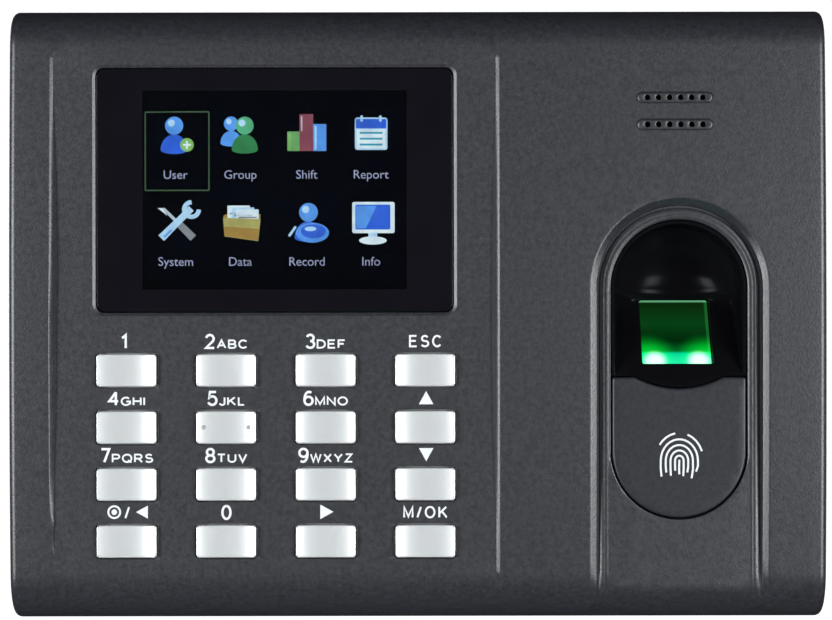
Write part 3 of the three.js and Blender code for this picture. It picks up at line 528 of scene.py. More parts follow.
def lit_prism(name):
    """Optical glass lit green from below: two hot spots at its foot, fading to dark green at its top."""
    made = Shading(name)
    place = made.feed(made.nodes.new("ShaderNodeSeparateXYZ"), {"Vector": made.coords})
    glow = made.ramp(made.spread(place["Z"], GLASS_FOOT.z * MM, GLASS_TOP.z * MM), PRISM_GLOW)
    for side in (-1, 1):
        for across, up, reach, core, colour in HOT_SPOTS:
            spot = Vector((ARCH_X + side * across, GLASS_FOOT.y, GLASS_FOOT.z + up)) * MM
            near = made.spread(made.measure("DISTANCE", spot), reach * MM, core * MM, kind="SMOOTHERSTEP")
            glow = made.brighten(glow, colour, near)
    edge = ARCH_X + GLASS_W / 2
    start, full = (edge - EDGE_START) * MM, (edge - EDGE_FULL) * MM
    glow = made.brighten(glow, EDGE_GLOW, made.spread(place["X"], start, full, 0.0, EDGE_SHARE, "SMOOTHSTEP"))
    outward = reader_point(0, 0, 1) - READER_MIDDLE
    face = outward.dot(READER_MIDDLE)
    depth = made.measure("DOT_PRODUCT", outward)
    return made.finish({
        "Base Color": (0.0, 0.004, 0.001, 1.0),
        "Emission Color": glow,
        "Emission Strength": made.spread(depth, (face - GLOW_START) * MM, (face - GLOW_FULL) * MM),
        "Specular IOR Level": 0.2,
        "Roughness": 0.1,
        "IOR": 1.52,
    })


def reader_point(across, along, out):
    """A point from the reader's own frame: across, up along the glass, and out of it."""
    turned = Matrix.Rotation(READER_TILT, 3, "X") @ Vector((across, along, out))
    return READER_MIDDLE + turned


GLASS_FOOT = reader_point(0, -GLASS_L / 2, 0)
GLASS_TOP = reader_point(0, GLASS_L / 2, 0)

CHARCOAL = (0.019, 0.0195, 0.0245)
CASING = moulded(
    "casing_plastic", CHARCOAL, 0.4, grain=2400.0, bump=0.9, deep=0.05, vary=0.3, mottle=1000.0, specular=0.8,
    uneven=0.035,
)
REST_PLASTIC = moulded(
    "rest_plastic", CHARCOAL, 0.4, grain=2600.0, bump=0.6, deep=0.04, vary=0.2, mottle=900.0, specular=0.45,
    uneven=0.025,
)
WINDOW_BLACK = moulded("window_black", (0.0046, 0.0042, 0.0066), 0.09, grain=300.0, bump=0.01, vary=0.1)
SCOOP_BLACK = moulded(
    "scoop_black", (0.004, 0.004, 0.005), 0.25, grain=900.0, bump=0.02, vary=0.15, specular=0.035,
)
KEY_WHITE = moulded(
    "key_silver", (0.86, 0.87, 0.88), 0.27, grain=900.0, bump=0.01, vary=0.01, metallic=0.55, mottle=25.0,
    uneven=0.006,
)
# Painted shade: the raised dots are the key's own silver plastic, given this darker, duller grey for the dark
# reflections they catch
KEY_DOT_PAINTED_SHADE = moulded("key_dot_painted_shade", (0.3, 0.31, 0.32), 0.6, grain=900.0, bump=0.02, vary=0.04)
PRINT_WHITE = moulded("print_white", (0.64, 0.65, 0.67), 0.5, grain=2000.0, bump=0.05, vary=0.03)
PRINT = {"white": PRINT_WHITE}
GLASS = clear_glass("window_glass")
PRISM = lit_prism("lit_prism")

SLOT_MATERIALS = {
    "casing": CASING,
    "window": WINDOW_BLACK,
    "display": moulded("display_black", (0.0006, 0.0014, 0.004), 0.1, bump=0.01),
    "key_plastic": KEY_WHITE,
    "rubber": moulded("silicone_rubber", (0.33, 0.34, 0.35), 0.7, grain=900.0, bump=0.1),
    "scoop_gloss": SCOOP_BLACK,
    "prism_glass": PRISM,
    "lamp": glowing("lamp_glow", (0.7, 1.0, 0.8), 2.0),
    "board": moulded("solder_mask", (0.01, 0.1, 0.04), 0.35, grain=700.0, bump=0.2, coat=0.4),
    "chip": moulded("chip_epoxy", (0.02, 0.02, 0.022), 0.6),
    "relay": moulded("relay_blue", (0.03, 0.13, 0.45), 0.45),
    "terminal_green": moulded("terminal_green", (0.03, 0.3, 0.08), 0.5),
    "black_plastic": moulded("black_plastic", (0.014, 0.014, 0.016), 0.5),
    "battery_wrap": moulded("battery_sleeve", (0.03, 0.18, 0.48), 0.3, grain=500.0, bump=0.2, coat=0.3),
    "ribbon": moulded("ribbon", (0.5, 0.47, 0.4), 0.5),
    "wire": moulded("wire_red", (0.35, 0.02, 0.02), 0.5),
    "cone_paper": moulded("cone_paper", (0.02, 0.018, 0.016), 0.85, grain=1600.0, bump=0.5),
    "plate_steel": moulded("zinc_plate", (0.56, 0.58, 0.6), 0.32, 1500.0, 0.12, vary=0.1, metallic=1.0),
    "screw_steel": moulded("nickel_steel", (0.45, 0.45, 0.46), 0.28, grain=2200.0, bump=0.1, metallic=1.0),
}


def finish_cad_nodes():
    """Gives every CAD node the material of its slot, joins its facets' corners and eases its edges."""
    slot_of = {part["node"]: part["material_slot"] for part in frame["record"]["subparts"]}
    for name, node in frame["nodes"].items():
        node.data.materials.clear()
        node.data.materials.append(SLOT_MATERIALS[slot_of[name]])
        weld = node.modifiers.new("weld", "WELD")
        weld.merge_threshold = 0.002 * MM
        bevel = node.modifiers.new("eased_edges", "BEVEL")
        bevel.width = 0.12 * MM
        bevel.segments = 2
        bevel.limit_method = "ANGLE"
        bevel.angle_limit = math.radians(40)
        bevel.use_clamp_overlap = True
        bevel.harden_normals = True


# ------------ front cover


def roll_of(limit):
    """The rolled edge that starts at a height: the slope there, its radius and its centre's depth."""
    slope = limit / FACE_RADIUS
    radius = (HALF_H - limit) / (1 - np.sin(slope))
    return slope, radius, FACE_Y + limit**2 / (2 * FACE_RADIUS) + radius * np.cos(slope)


def side_profile(s):
    """Point and outward normal of the cover's side outline. s is z on the face, and goes on round it."""
    s = np.asarray(s, float)
    sign = np.where(s < 0, -1.0, 1.0)
    limit = np.where(s < 0, FACE_BOTTOM, FACE_TOP)
    t = np.abs(s)
    slope, radius, centre_y = roll_of(limit)
    centre_z = limit - radius * np.sin(slope)
    turn = slope + np.maximum(t - limit, 0) / radius
    angle = np.minimum(turn, math.pi / 2)
    run = np.maximum(turn - math.pi / 2, 0) * radius
    flat = t <= limit
    y = np.where(flat, FACE_Y + t**2 / (2 * FACE_RADIUS), centre_y - radius * np.cos(angle) + run)
    z = np.where(flat, t, centre_z + radius * np.sin(angle))
    tilt = np.where(flat, t / FACE_RADIUS, angle)
    return y, sign * z, -np.cos(tilt), sign * np.sin(tilt)


def profile_span(limit, y):
    """How far along the side outline a depth y on the straight wall lies."""
    slope, radius, centre_y = roll_of(limit)
    return limit + (math.pi / 2 - slope) * radius + (y - centre_y)


def quarter(t):
    return 1 - np.sqrt(1 - np.clip(t, 0, 1) ** 2)


def sunk_channel(y, z, inset):
    """The finger channel: a gentle slope, a steep wall, a groove and the bead round the opening."""
    depth = np.maximum(CHANNEL_Y - y, 0)
    upward = np.clip((z - ARCH_Z) / ARCH_R, 0, 1)
    slope = np.minimum(np.interp(inset, WALL_AT, WALL_SINK) * (1 + WALL_STEEPER * upward**2), depth)
    steep = np.interp(inset, STEEP_AT, STEEP_SHARE)
    bead = quarter(np.abs(inset - BEAD_AT) / BEAD_HALF)
    bead = np.where(inset > BEAD_AT, BEAD_INNER * bead, bead)
    bead = np.maximum(bead, BEAD_LINE * (1 - (np.abs(inset - BEAD_AT) / BEAD_LINE_HALF) ** 2))
    extra = np.where(inset < GROOVE_IN, steep, np.maximum(bead, 1 - (inset - GROOVE_IN) / GROOVE_BACK))
    extra = np.where(inset > BEAD_AT + BEAD_HALF, 0, extra)
    groove = GROOVE_DEEP * np.clip(extra, 0, 1) * np.minimum(depth / GROOVE_START, 1)
    return y + slope + (depth - slope) * steep + groove


def flank_slope(x, z, inset):
    """Depth of the even slope along the outer side of each flank."""
    slope = np.interp(inset, FLANK_AT, FLANK_SINK) * np.clip(FLANK_END - np.abs(z), 0, 1)
    return slope * np.where(x < PANEL_X, np.interp(z, LEFT_FLANK_Z, LEFT_FLANK_SHARE), 1)


def flank_foot(x, z):
    """How far from its edge a flank meets the panel."""
    depth = np.maximum(PANEL_Y - side_profile(z)[0], 0)
    fall = np.maximum(depth - flank_slope(x, z, FLANK_AT[3]), 0)
    return FLANK_AT[3] + np.clip(fall / FLANK_FALL, 0.05, 1.3)


def sunk_panel(x, y, z, inset):
    """The flat panel: an even slope along each flank, then the steep part down to the panel."""
    depth = np.maximum(PANEL_Y - y, 0)
    slope = flank_slope(x, z, inset)
    deep = np.maximum(depth, slope)
    fall = np.minimum(deep - slope, FLANK_FALL * np.maximum(inset - FLANK_AT[3], 0))
    shallow = (deep - depth) * np.clip((inset - 1) / FLANK_FADE, 0, 1)
    return y + slope + fall - shallow


def pill_height(x, z):
    """How far the two lozenges of the speaker's holes stand out."""
    rise = np.zeros(np.shape(x))
    for row in PILL_ROWS:
        dx = np.maximum(np.abs(x - SPEAKER.x) - (PILL_W / 2 - PILL_R), 0)
        dz = np.maximum(np.abs(z - row) - (PILL_H / 2 - PILL_R), 0)
        inset = PILL_R - np.hypot(dx, dz)
        share = np.clip(inset / PILL_RINGS[-1], 0, 1)
        rise = np.maximum(rise, np.sqrt(1 - (1 - share) ** 2) * (inset > 0))
    return PILL_PROUD * rise


def cover_surface(flat, lift):
    """The cover's outside over the unrolled face."""
    x, s = flat[:, 0], flat[:, 1]
    y, z, _, _ = side_profile(s)
    panel_inset = PANEL_HALF - np.abs(x - PANEL_X)
    y = np.where(panel_inset > 0, sunk_panel(x, y, z, panel_inset), y)
    inset = ARCH_R - arch_distance(x, z)
    y = np.where(inset > 0, sunk_channel(y, z, inset), y)
    y = y - pill_height(x, z)
    return np.column_stack((x, y + lift, z))


ROUNDED = ((0.0, 1.0), (0.3, 0.3), (1.0, 0.0))  # an edge's section: how far out, how far down
SLOPED = ((0.0, 0.6), (0.12, 0.38), (0.88, 0.04), (1.0, 0.0))


def rounds(outline, size, steps):
    """Rings round a hole that ease its edge."""
    return [(grown(outline, out * size), True, drop * size) for out, drop in steps]


def window_outline(out, steps=6):
    """The display window's outline, moved outwards."""
    centre = middle("lcd_window")
    wide, high = WINDOW_HIGH.x - WINDOW_LOW.x + 2 * out, WINDOW_HIGH.z - WINDOW_LOW.z + 2 * out
    return rounded_rect(centre.x, centre.z, wide, high, WINDOW_R, steps)


def cover_holes():
    """Every opening of the cover, as (outline, width of its eased edge, the edge's section)."""
    holes = [(opening_outline(OPENING_R), 0.3, ROUNDED)]
    holes.append((subdivided(window_outline(WINDOW_GAP), 3), 0.8, SLOPED))
    for key in KEYS:
        at = middle(key)
        outline = rounded_rect(at.x, at.z, KEY_W + 2 * KEY_GAP, KEY_H + 2 * KEY_GAP, KEY_R + 0.3, 4)
        holes.append((subdivided(outline, 2.5), 0.15, ROUNDED))
    for row in PILL_ROWS:
        for i in range(HOLE_COUNT):
            x = SPEAKER.x + (i - (HOLE_COUNT - 1) / 2) * HOLE_PITCH
            holes.append((circle(x, row, HOLE_R, 20), 0.1, ROUNDED))
    low, high = box_mm("usb_port")
    s0, s1 = (-profile_span(FACE_BOTTOM, y) for y in (high.y - USB_IN, low.y + USB_IN))
    socket = rounded_rect((low.x + high.x) / 2, (s0 + s1) / 2, USB_W, s1 - s0, 0.5, 3)
    holes.append((socket, 0.12, ROUNDED))
    return holes


def cover_lines(stations, left, right):
    """The lines that the cover's surface follows: its border, the flanks, the channel and the pills."""
    border = [(right, s) for s in stations[:-1]]
    border += [(x, stations[-1]) for x in np.linspace(right, left, BORDER_COLUMNS)[:-1]]
    border += [(left, s) for s in stations[::-1][:-1]]
    border += [(x, stations[0]) for x in np.linspace(left, right, BORDER_COLUMNS)[:-1]]
    lines = [(np.array(border), True, 0.0)]
    flanks = [-60, -FLANK_END, 1 - FLANK_END, *np.arange(-54, 55, 2.4), FLANK_END - 1, FLANK_END, 60]
    flanks = np.array(flanks)
    for side in (-1, 1):
        foot = flank_foot(np.full(len(flanks), PANEL_X + side), flanks)
        for at in (*FLANK_AT, foot):
            lines.append((upright(PANEL_X + side * (PANEL_HALF - at), flanks), False, 0.0))
    for inset in (*WALL_AT, *STEEP_AT[1:], *CHANNEL_RINGS):
        lines.append((arch_line(ARCH_R - inset, CHANNEL_END), False, 0.0))
    for row in PILL_ROWS:
        pill = rounded_rect(SPEAKER.x, row, PILL_W, PILL_H, PILL_R - 0.01, 8)
        for inset in PILL_RINGS:
            lines.append((subdivided(grown(pill, -inset), 2.4), True, 0.0))
    return lines


def free_points(stations, left, right, holes):
    """Points of the cover's mesh that lie clear of the holes, the channel and the flanks."""
    columns = np.linspace(left, right, FACE_COLUMNS)[1:-1]
    loose = np.array([(x, s) for x in columns for s in stations[1:-1]])
    near = ARCH_R - arch_distance(loose[:, 0], loose[:, 1])
    loose = loose[~((near > -0.3) & (near < CHANNEL_RINGS[-1]))]
    for outline, size, _ in holes:
        loose = loose[~inside(grown(outline, size + 0.3), loose)]
    inset = PANEL_HALF - np.abs(loose[:, 0] - PANEL_X)
    return loose[(inset <= -0.4) | (inset >= FLANK_AT[-1] + 0.4)]


def close_end(verts, faces, flat, right, sign):
    """Rounds the cover's left or right end and closes it."""
    edge = [i for i in range(len(flat)) if abs(flat[i, 0] - sign * right) < 1e-3]
    edge.sort(key=lambda i: flat[i, 1])
    y, z, ny, nz = side_profile(flat[edge, 1])
    rings = [edge]
    for turn in np.radians(np.linspace(0, 90, 7))[1:]:
        inset = END_ROUND * (1 - math.cos(turn))
        x = sign * (right + END_ROUND * math.sin(turn))
        rings.append(list(range(len(verts), len(verts) + len(edge))))
        verts += [[x, a - inset * c, b - inset * d] for a, b, c, d in zip(y, z, ny, nz)]
    for a, b in zip(rings, rings[1:]):
        faces += [[a[j], b[j], b[j + 1], a[j + 1]] for j in range(len(edge) - 1)]
    inner = [i + len(flat) for i in edge]
    faces += [rings[-1], inner[::-1]]
    for j in (0, -1):
        faces += [[a[j], b[j], inner[j]] for a, b in zip(rings, rings[1:])]
    faces.append([rings[-1][0], rings[-1][-1], inner[-1], inner[0]])


def front_cover():
    """The front housing: its outside is unrolled, cut into triangles, folded back and closed from behind."""
    right = HALF_W - END_ROUND
    left = -right
    top, bottom = profile_span(FACE_TOP, SPLIT_Y), -profile_span(FACE_BOTTOM, SPLIT_Y)
    roll_top = np.linspace(FACE_TOP, profile_span(FACE_TOP, ROLL_TOP_Y), ROLL_ROWS)
    roll_bottom = -np.linspace(FACE_BOTTOM, profile_span(FACE_BOTTOM, ROLL_BOTTOM_Y), ROLL_ROWS)[::-1]
    stations = np.concatenate((
        np.linspace(bottom, roll_bottom[0], SIDE_ROWS)[:-1], roll_bottom,
        np.linspace(-FACE_BOTTOM, FACE_TOP, FACE_ROWS)[1:-1], roll_top,
        np.linspace(roll_top[-1], top, SIDE_ROWS)[1:],
    ))
    holes = cover_holes()
    lines = cover_lines(stations, left, right)
    for outline, size, steps in holes:
        lines += rounds(outline, size, steps)
    loose = free_points(stations, left, right, holes)
    flat, tris, lift = triangulated(lines, loose, None, [hole[0] for hole in holes])
    front = cover_surface(flat, lift)
    _, _, ny, nz = side_profile(flat[:, 1])
    back = front.copy()
    back[:, 1] -= WALL * ny
    back[:, 2] -= WALL * nz
    back[:, 0] = np.clip(back[:, 0], WALL - HALF_W, HALF_W - WALL)

    def at_side(a, b):
        return abs(a[0]) > right - 1e-3 and abs(b[0]) > right - 1e-3 and a[0] * b[0] > 0

    verts, faces = closed_body(flat, tris, front, back, at_side)
    verts = verts.tolist()
    for sign in (-1, 1):
        close_end(verts, faces, flat, right, sign)
    make_piece(
        "front_cover_shell", verts, faces, CASING,
        slot="casing", replaces=["front_cover"], sharp=34, weighted=True,
    )


# ------------ display


def display_window():
    """Acrylic window: clear over the lit area, printed black from behind round it."""
    outline = subdivided(window_outline(0, 8), 4)

    def sight(out):
        return subdivided(rounded_rect(SCREEN.x, SCREEN.z, LIT_W + 2 * out, LIT_H + 2 * out, 0.3, 2), 4)

    border = Build()
    border.add(*slab(outline, level(WINDOW_LOW.y), level(WINDOW_HIGH.y), 0.05, 4, [sight(SIGHT_OUT)]))
    border.piece("window_border", WINDOW_BLACK, slot="window", replaces=["lcd_window"])
    clear = Build()
    pane = sight(SIGHT_OUT - PANE_GAP)
    clear.add(*slab(pane, level(WINDOW_LOW.y), level(WINDOW_HIGH.y), PANE_GAP, 8))
    clear.piece("window_pane", GLASS, slot="window")


class Ink:
    """Flat shapes laid on each other in front of a plane, each a little nearer than the last."""

    def __init__(self, y, inks, thick=0.02, step=0.012):
        self.build = Build()
        self.y = y
        self.inks = inks
        self.thick = thick
        self.step = step
        self.palette = []
        self.place = np.zeros(2)
        self.scale = 1.0

    def move(self, x, z, scale):
        """What is drawn next is drawn about this point, at this scale."""
        self.place = np.array((x, z))
        self.scale = scale

    def slot_of(self, tone):
        if tone not in self.palette:
            self.palette.append(tone)
        return self.palette.index(tone)

    def fill(self, outline, tone="white", layer=0):
        outline = np.asarray(outline, float) * self.scale + self.place
        x, z = outline[:, 0], outline[:, 1]
        turned = x @ np.roll(z, -1) - z @ np.roll(x, -1)
        outline = outline if turned > 0 else outline[::-1]
        y = self.y - layer * self.step
        verts, faces = loft([ring_y(outline, y), ring_y(outline, y - self.thick)])
        self.build.add(verts, faces, self.slot_of(tone))

    def disc(self, x, z, radius, tone="white", layer=0, squash=1.0):
        self.fill(circle(0, 0, radius) * (1, squash) + (x, z), tone, layer)

    def stroke(self, line, width, tone="white", layer=0):
        """A band of even width along an open line, with mitred corners."""
        line = np.asarray(line, float) * self.scale + self.place
        moved = np.linalg.norm(np.diff(line, axis=0), axis=1) > 1e-6
        line = line[np.append(True, moved)]
        steps = unit(np.diff(line, axis=0))
        before, after = np.vstack((steps[:1], steps)), np.vstack((steps, steps[-1:]))
        mean = unit(before + after)
        mitre = 1 / np.maximum((mean * after).sum(axis=1, keepdims=True), 0.45)
        side = np.column_stack((-mean[:, 1], mean[:, 0])) * mitre * self.scale * width / 2
        y = self.y - layer * self.step
        depths = (y, y, y - self.thick, y - self.thick)
        rings = [np.insert((p + s, p - s, p - s, p + s), 1, depths, axis=1) for p, s in zip(line, side)]
        verts, faces = loft(rings)
        self.build.add(verts, faces, self.slot_of(tone))

    def piece(self, name, **options):
        return self.build.piece(name, [self.inks[tone] for tone in self.palette], **options)


def display_inks():
    tones = {
        "blue": (0.02, 0.12, 0.72), "sky": (0.09, 0.33, 0.85), "pale": (0.45, 0.72, 1.0),
        "white": (0.72, 0.9, 1.0), "green": (0.02, 0.22, 0.06), "mint": (0.08, 0.42, 0.2),
        "moss": (0.14, 0.4, 0.12), "lime": (0.22, 0.5, 0.12), "rose": (0.24, 0.05, 0.08),
        "teal": (0.03, 0.35, 0.5), "gold": (0.36, 0.22, 0.04), "olive": (0.42, 0.4, 0.12),
        "grey": (0.22, 0.24, 0.26), "steel": (0.5, 0.58, 0.66), "frame": (0.045, 0.1, 0.045),
        "label": (0.33, 0.36, 0.52),
    }
    return {name: glowing("display_" + name, tone, 0.95) for name, tone in tones.items()}


def person(ink, x, z, size, body, head, layer=0):
    waist = z - 0.42 * size
    shoulders = arc(0, 0, size, 180, 0, 14) * (0.34, 0.4) + (x, waist)
    hem = np.column_stack((shoulders[::-1, 0], waist - 0.1 * size * np.sin(np.linspace(0, math.pi, 15))))
    ink.fill(np.vstack((shoulders, hem)), body, layer)
    ink.disc(x, z + 0.2 * size, 0.23 * size, head, layer + 1)
    ink.disc(x - 0.07 * size, z + 0.27 * size, 0.09 * size, "pale", layer + 2)


def icon_user(ink):
    person(ink, -0.3, 0, 8.0, "blue", "sky")
    ink.disc(2.3, -2.3, 1.4, "lime", 3)
    ink.fill(bar(1.5, -2.5, 3.1, -2.1), "white", 4)
    ink.fill(bar(2.1, -3.1, 2.5, -1.5), "white", 5)


def icon_group(ink):
    person(ink, -1.9, 0.7, 6.4, "sky", "sky")
    person(ink, 0.9, 0, 7.9, "green", "mint", 3)


def icon_chart(ink):
    ink.fill(bar(-4, -3.6, -1.5, 0.4), "moss", 0)
    ink.fill(bar(-1.5, -3.6, 1.3, 3.9), "rose", 1)
    ink.fill(bar(1.3, -3.6, 4, 1.9), "sky", 0)
    ink.fill(bar(1.6, -3.3, 2, 1.5), "pale", 2)
    ink.fill(bar(-1.2, 0.5, -0.9, 3.5), "steel", 2)
    ink.fill(bar(-3.7, -3.3, -3.3, 0), "lime", 3)


def icon_report(ink):
    ink.fill(rounded_rect(0, -0.1, 6.6, 6.6, 0.5, 4), "pale", 0)
    ink.fill(bar(-3.1, 1, 3.1, 2.9), "blue", 1)
    ink.fill(bar(-2.9, -3.1, 2.9, 0.8), "white", 1)
    for row in range(3):
        ink.fill(bar(-2.3, -2.5 + row * 1.2, 2.3, -2.1 + row * 1.2), "teal", 2)
    for side in (-1.9, 1.9):
        ink.fill(bar(side - 0.25, 2.4, side + 0.25, 3.6), "pale", 3)


def icon_tools(ink):
    slant = math.sqrt(0.5)
    for side, tip, grip, slim, layer in ((-1, "steel", "grey", 0.3, 0), (1, "pale", "pale", 0.7, 2)):
        run, wide = np.array((side, 1)) * slant, np.array((-side, 1)) * slant
        handle = [-run * 4.6 - wide * 0.8, -wide * 0.7, wide * 0.7, -run * 4.6 + wide * 0.8]
        ink.fill(handle, grip, layer)
        blade = [-wide * slim, run * 4 - wide * slim, run * 4 + wide * slim, wide * slim]
        ink.fill(blade, tip, layer + 1)
    ink.fill([(-4, 2.9), (-2.9, 2.9), (-2.1, 1.3), (-2.9, 2.1)], "white", 2)
    ink.stroke(arc(2.9, 2.6, 1.5, 90, 360, 18), 0.9, "pale", 4)
    ink.stroke([(-2.7, -3.1), (-1.2, -1.6)], 0.4, "sky", 4)


def icon_folder(ink):
    ink.fill([(-3.4, -3), (3.4, -3), (3.8, 1.6), (-1.2, 2.4), (-3.8, 1.4)], "gold", 0)
    for i, tone in enumerate(("white", "pale", "white")):
        ink.fill(bar(-3 + i * 0.9, -1, 1.6 + i * 0.9, 3.4 - i * 0.4), tone, 1 + i)
        ink.fill(bar(-2.5 + i * 0.9, 1.6 - i * 0.4, 1.2 + i * 0.9, 1.9 - i * 0.4), "grey", 2 + i)
    ink.fill([(-3.6, -2.9), (3.3, -3.9), (3.8, 0.6), (-3.9, 0.9)], "olive", 5)
    ink.fill([(-3.6, -2.8), (3.2, -3.8), (3.5, -1.4), (-3.7, -0.9)], "gold", 6)


def icon_record(ink):
    person(ink, 0, 0.3, 8.4, "blue", "sky")
    ink.disc(0.8, -2.2, 3.4, "sky", 3, 0.6)
    ink.disc(1.0, -1.9, 2.6, "blue", 4, 0.55)
    ink.disc(0.4, -1.4, 1.2, "pale", 5, 0.4)
    ink.stroke([(-4, -2.9), (-2.6, -0.9)], 0.5, "pale", 6)


def icon_monitor(ink):
    ink.fill(rounded_rect(0.1, 0.9, 8.6, 6.4, 0.4, 4), "white", 0)
    ink.fill(rounded_rect(0, 1, 7.1, 5.1, 0.3, 3), "blue", 1)
    ink.fill([(-3.4, -1.3), (-1.4, -1.3), (0.8, 3.3), (-3.4, 3.3)], "sky", 2)
    ink.fill(bar(-0.9, -3.2, 0.9, -2.2), "pale", 0)
    ink.disc(0, -3.8, 2.8, "white", 1, 0.3)


ICONS = (
    ((icon_user, "User"), (icon_group, "Group"), (icon_chart, "Shift"), (icon_report, "Report")),
    ((icon_tools, "System"), (icon_folder, "Data"), (icon_record, "Record"), (icon_monitor, "Info")),
)
ICON_X = (-22.0, -7.7, 7.0, 21.2)
ICON_Z = (12.6, -7.0)
ICON_SCALE = 1.08
ROW_SHIFT = (0.0, 0.35)
CHOSEN = bar(-6.6, 0.05, 7.35, 17.35)  # the frame round the first icon
LABEL_Z = (3.6, -15.6)
LABEL_SIZE = 2.0
INKS = display_inks()


def letters(text, height, x, z, y):
    """Flat lettering whose capitals are that high, centred on x and z: its vertices and faces."""
    curve = bpy.data.curves.new("word", "FONT")
    curve.body = text
    curve.resolution_u = 4
    made = placed("word", curve)
    bpy.context.view_layer.update()
    mesh = bpy.data.meshes.new_from_object(made)
    bpy.data.objects.remove(made)
    cap = 0.729  # the font's capital height at size 1
    co = np.array([v.co for v in mesh.vertices]).reshape(-1, 3) * height / cap
    faces = [list(p.vertices) for p in mesh.polygons]
    bpy.data.meshes.remove(mesh)
    co[:, 0] += x - (co[:, 0].max() + co[:, 0].min()) / 2
    return np.column_stack((co[:, 0], np.full(len(co), y), co[:, 1] + z - height / 2)), faces


def display_picture():
    """What the display shows: two rows of icons with a word under each."""
    ink = Ink(SCREEN_LOW.y - 0.01, INKS)
    for row, z, shift in zip(ICONS, ICON_Z, ROW_SHIFT):
        for (draw, _), x in zip(row, ICON_X):
            ink.move(SCREEN.x + x + shift, SCREEN.z + z, ICON_SCALE)
            draw(ink)
    ink.move(SCREEN.x + ICON_X[0], SCREEN.z, 1)
    for a, b in zip(CHOSEN, np.roll(CHOSEN, -1, axis=0)):
        ink.stroke([a, b], 0.3, "frame")
    ink.piece("display_icons", slot="display")
    labels = Build()
    for row, z in zip(ICONS, LABEL_Z):
        for (_, word), x in zip(row, ICON_X):
            labels.add(*letters(word, LABEL_SIZE, SCREEN.x + x, SCREEN.z + z, SCREEN_LOW.y - 0.03))
    labels.piece("display_labels", INKS["label"], slot="display")


# ------------ keypad


def key_cap(name):
    """A key: a cap dished from side to side, a flange that keeps it in, and a stem."""
    at = middle(name)
    low, high = box_mm(name)
    back = low.y + KEY_DEEP
    build = Build()
    outline = subdivided(rounded_rect(at.x, at.z, KEY_W, KEY_H, KEY_R, 6), 1.2)
    sag = (KEY_W / 2) ** 2 / (2 * KEY_DISH_R)

    def dished(x, z):
        return KEY_FRONT + sag - (x - at.x) ** 2 / (2 * KEY_DISH_R)

    build.add(*slab(outline, dished, level(back), KEY_EASE, KEY_STEP))
    flange = rounded_rect(at.x, at.z, KEY_W + 2 * FLANGE_OUT, KEY_H + 2 * FLANGE_OUT, 1.0, 4)
    foot = back + FLANGE_DEEP
    build.add(*loft([ring_y(flange, back + PART_GAP), ring_y(flange, foot)]))
    stem = circle(at.x, at.z, STEM_R)
    build.add(*loft([ring_y(stem, foot + PART_GAP), ring_y(stem, high.y)]))
    materials = [KEY_WHITE]
    if name == "key_5":
        # the dots get the darker grey of painted shade, not a plastic of their own
        materials.append(KEY_DOT_PAINTED_SHADE)
        for side in (-DOT_AT, DOT_AT):
            rings = []
            for share in DOT_SHARES:
                y = dished(at.x + side, at.z) + DOT_SUNK - DOT_RISE * math.sqrt(1 - share**2)
                rings.append(ring_y(circle(at.x + side, at.z, DOT_R * share, 20), y))
            build.add(*loft(rings), paint=1)
    build.piece(name + "_cap", materials, body=name, slot="key_plastic", replaces=[name])


def oval(cx, cz, rx, rz, start=90, end=450):
    """Part of an oval, as points about every twelve degrees."""
    turn = np.radians(np.linspace(start, end, max(3, round(abs(end - start) / 12)) + 1))
    return [(cx + rx * math.cos(t), cz + rz * math.sin(t)) for t in turn]


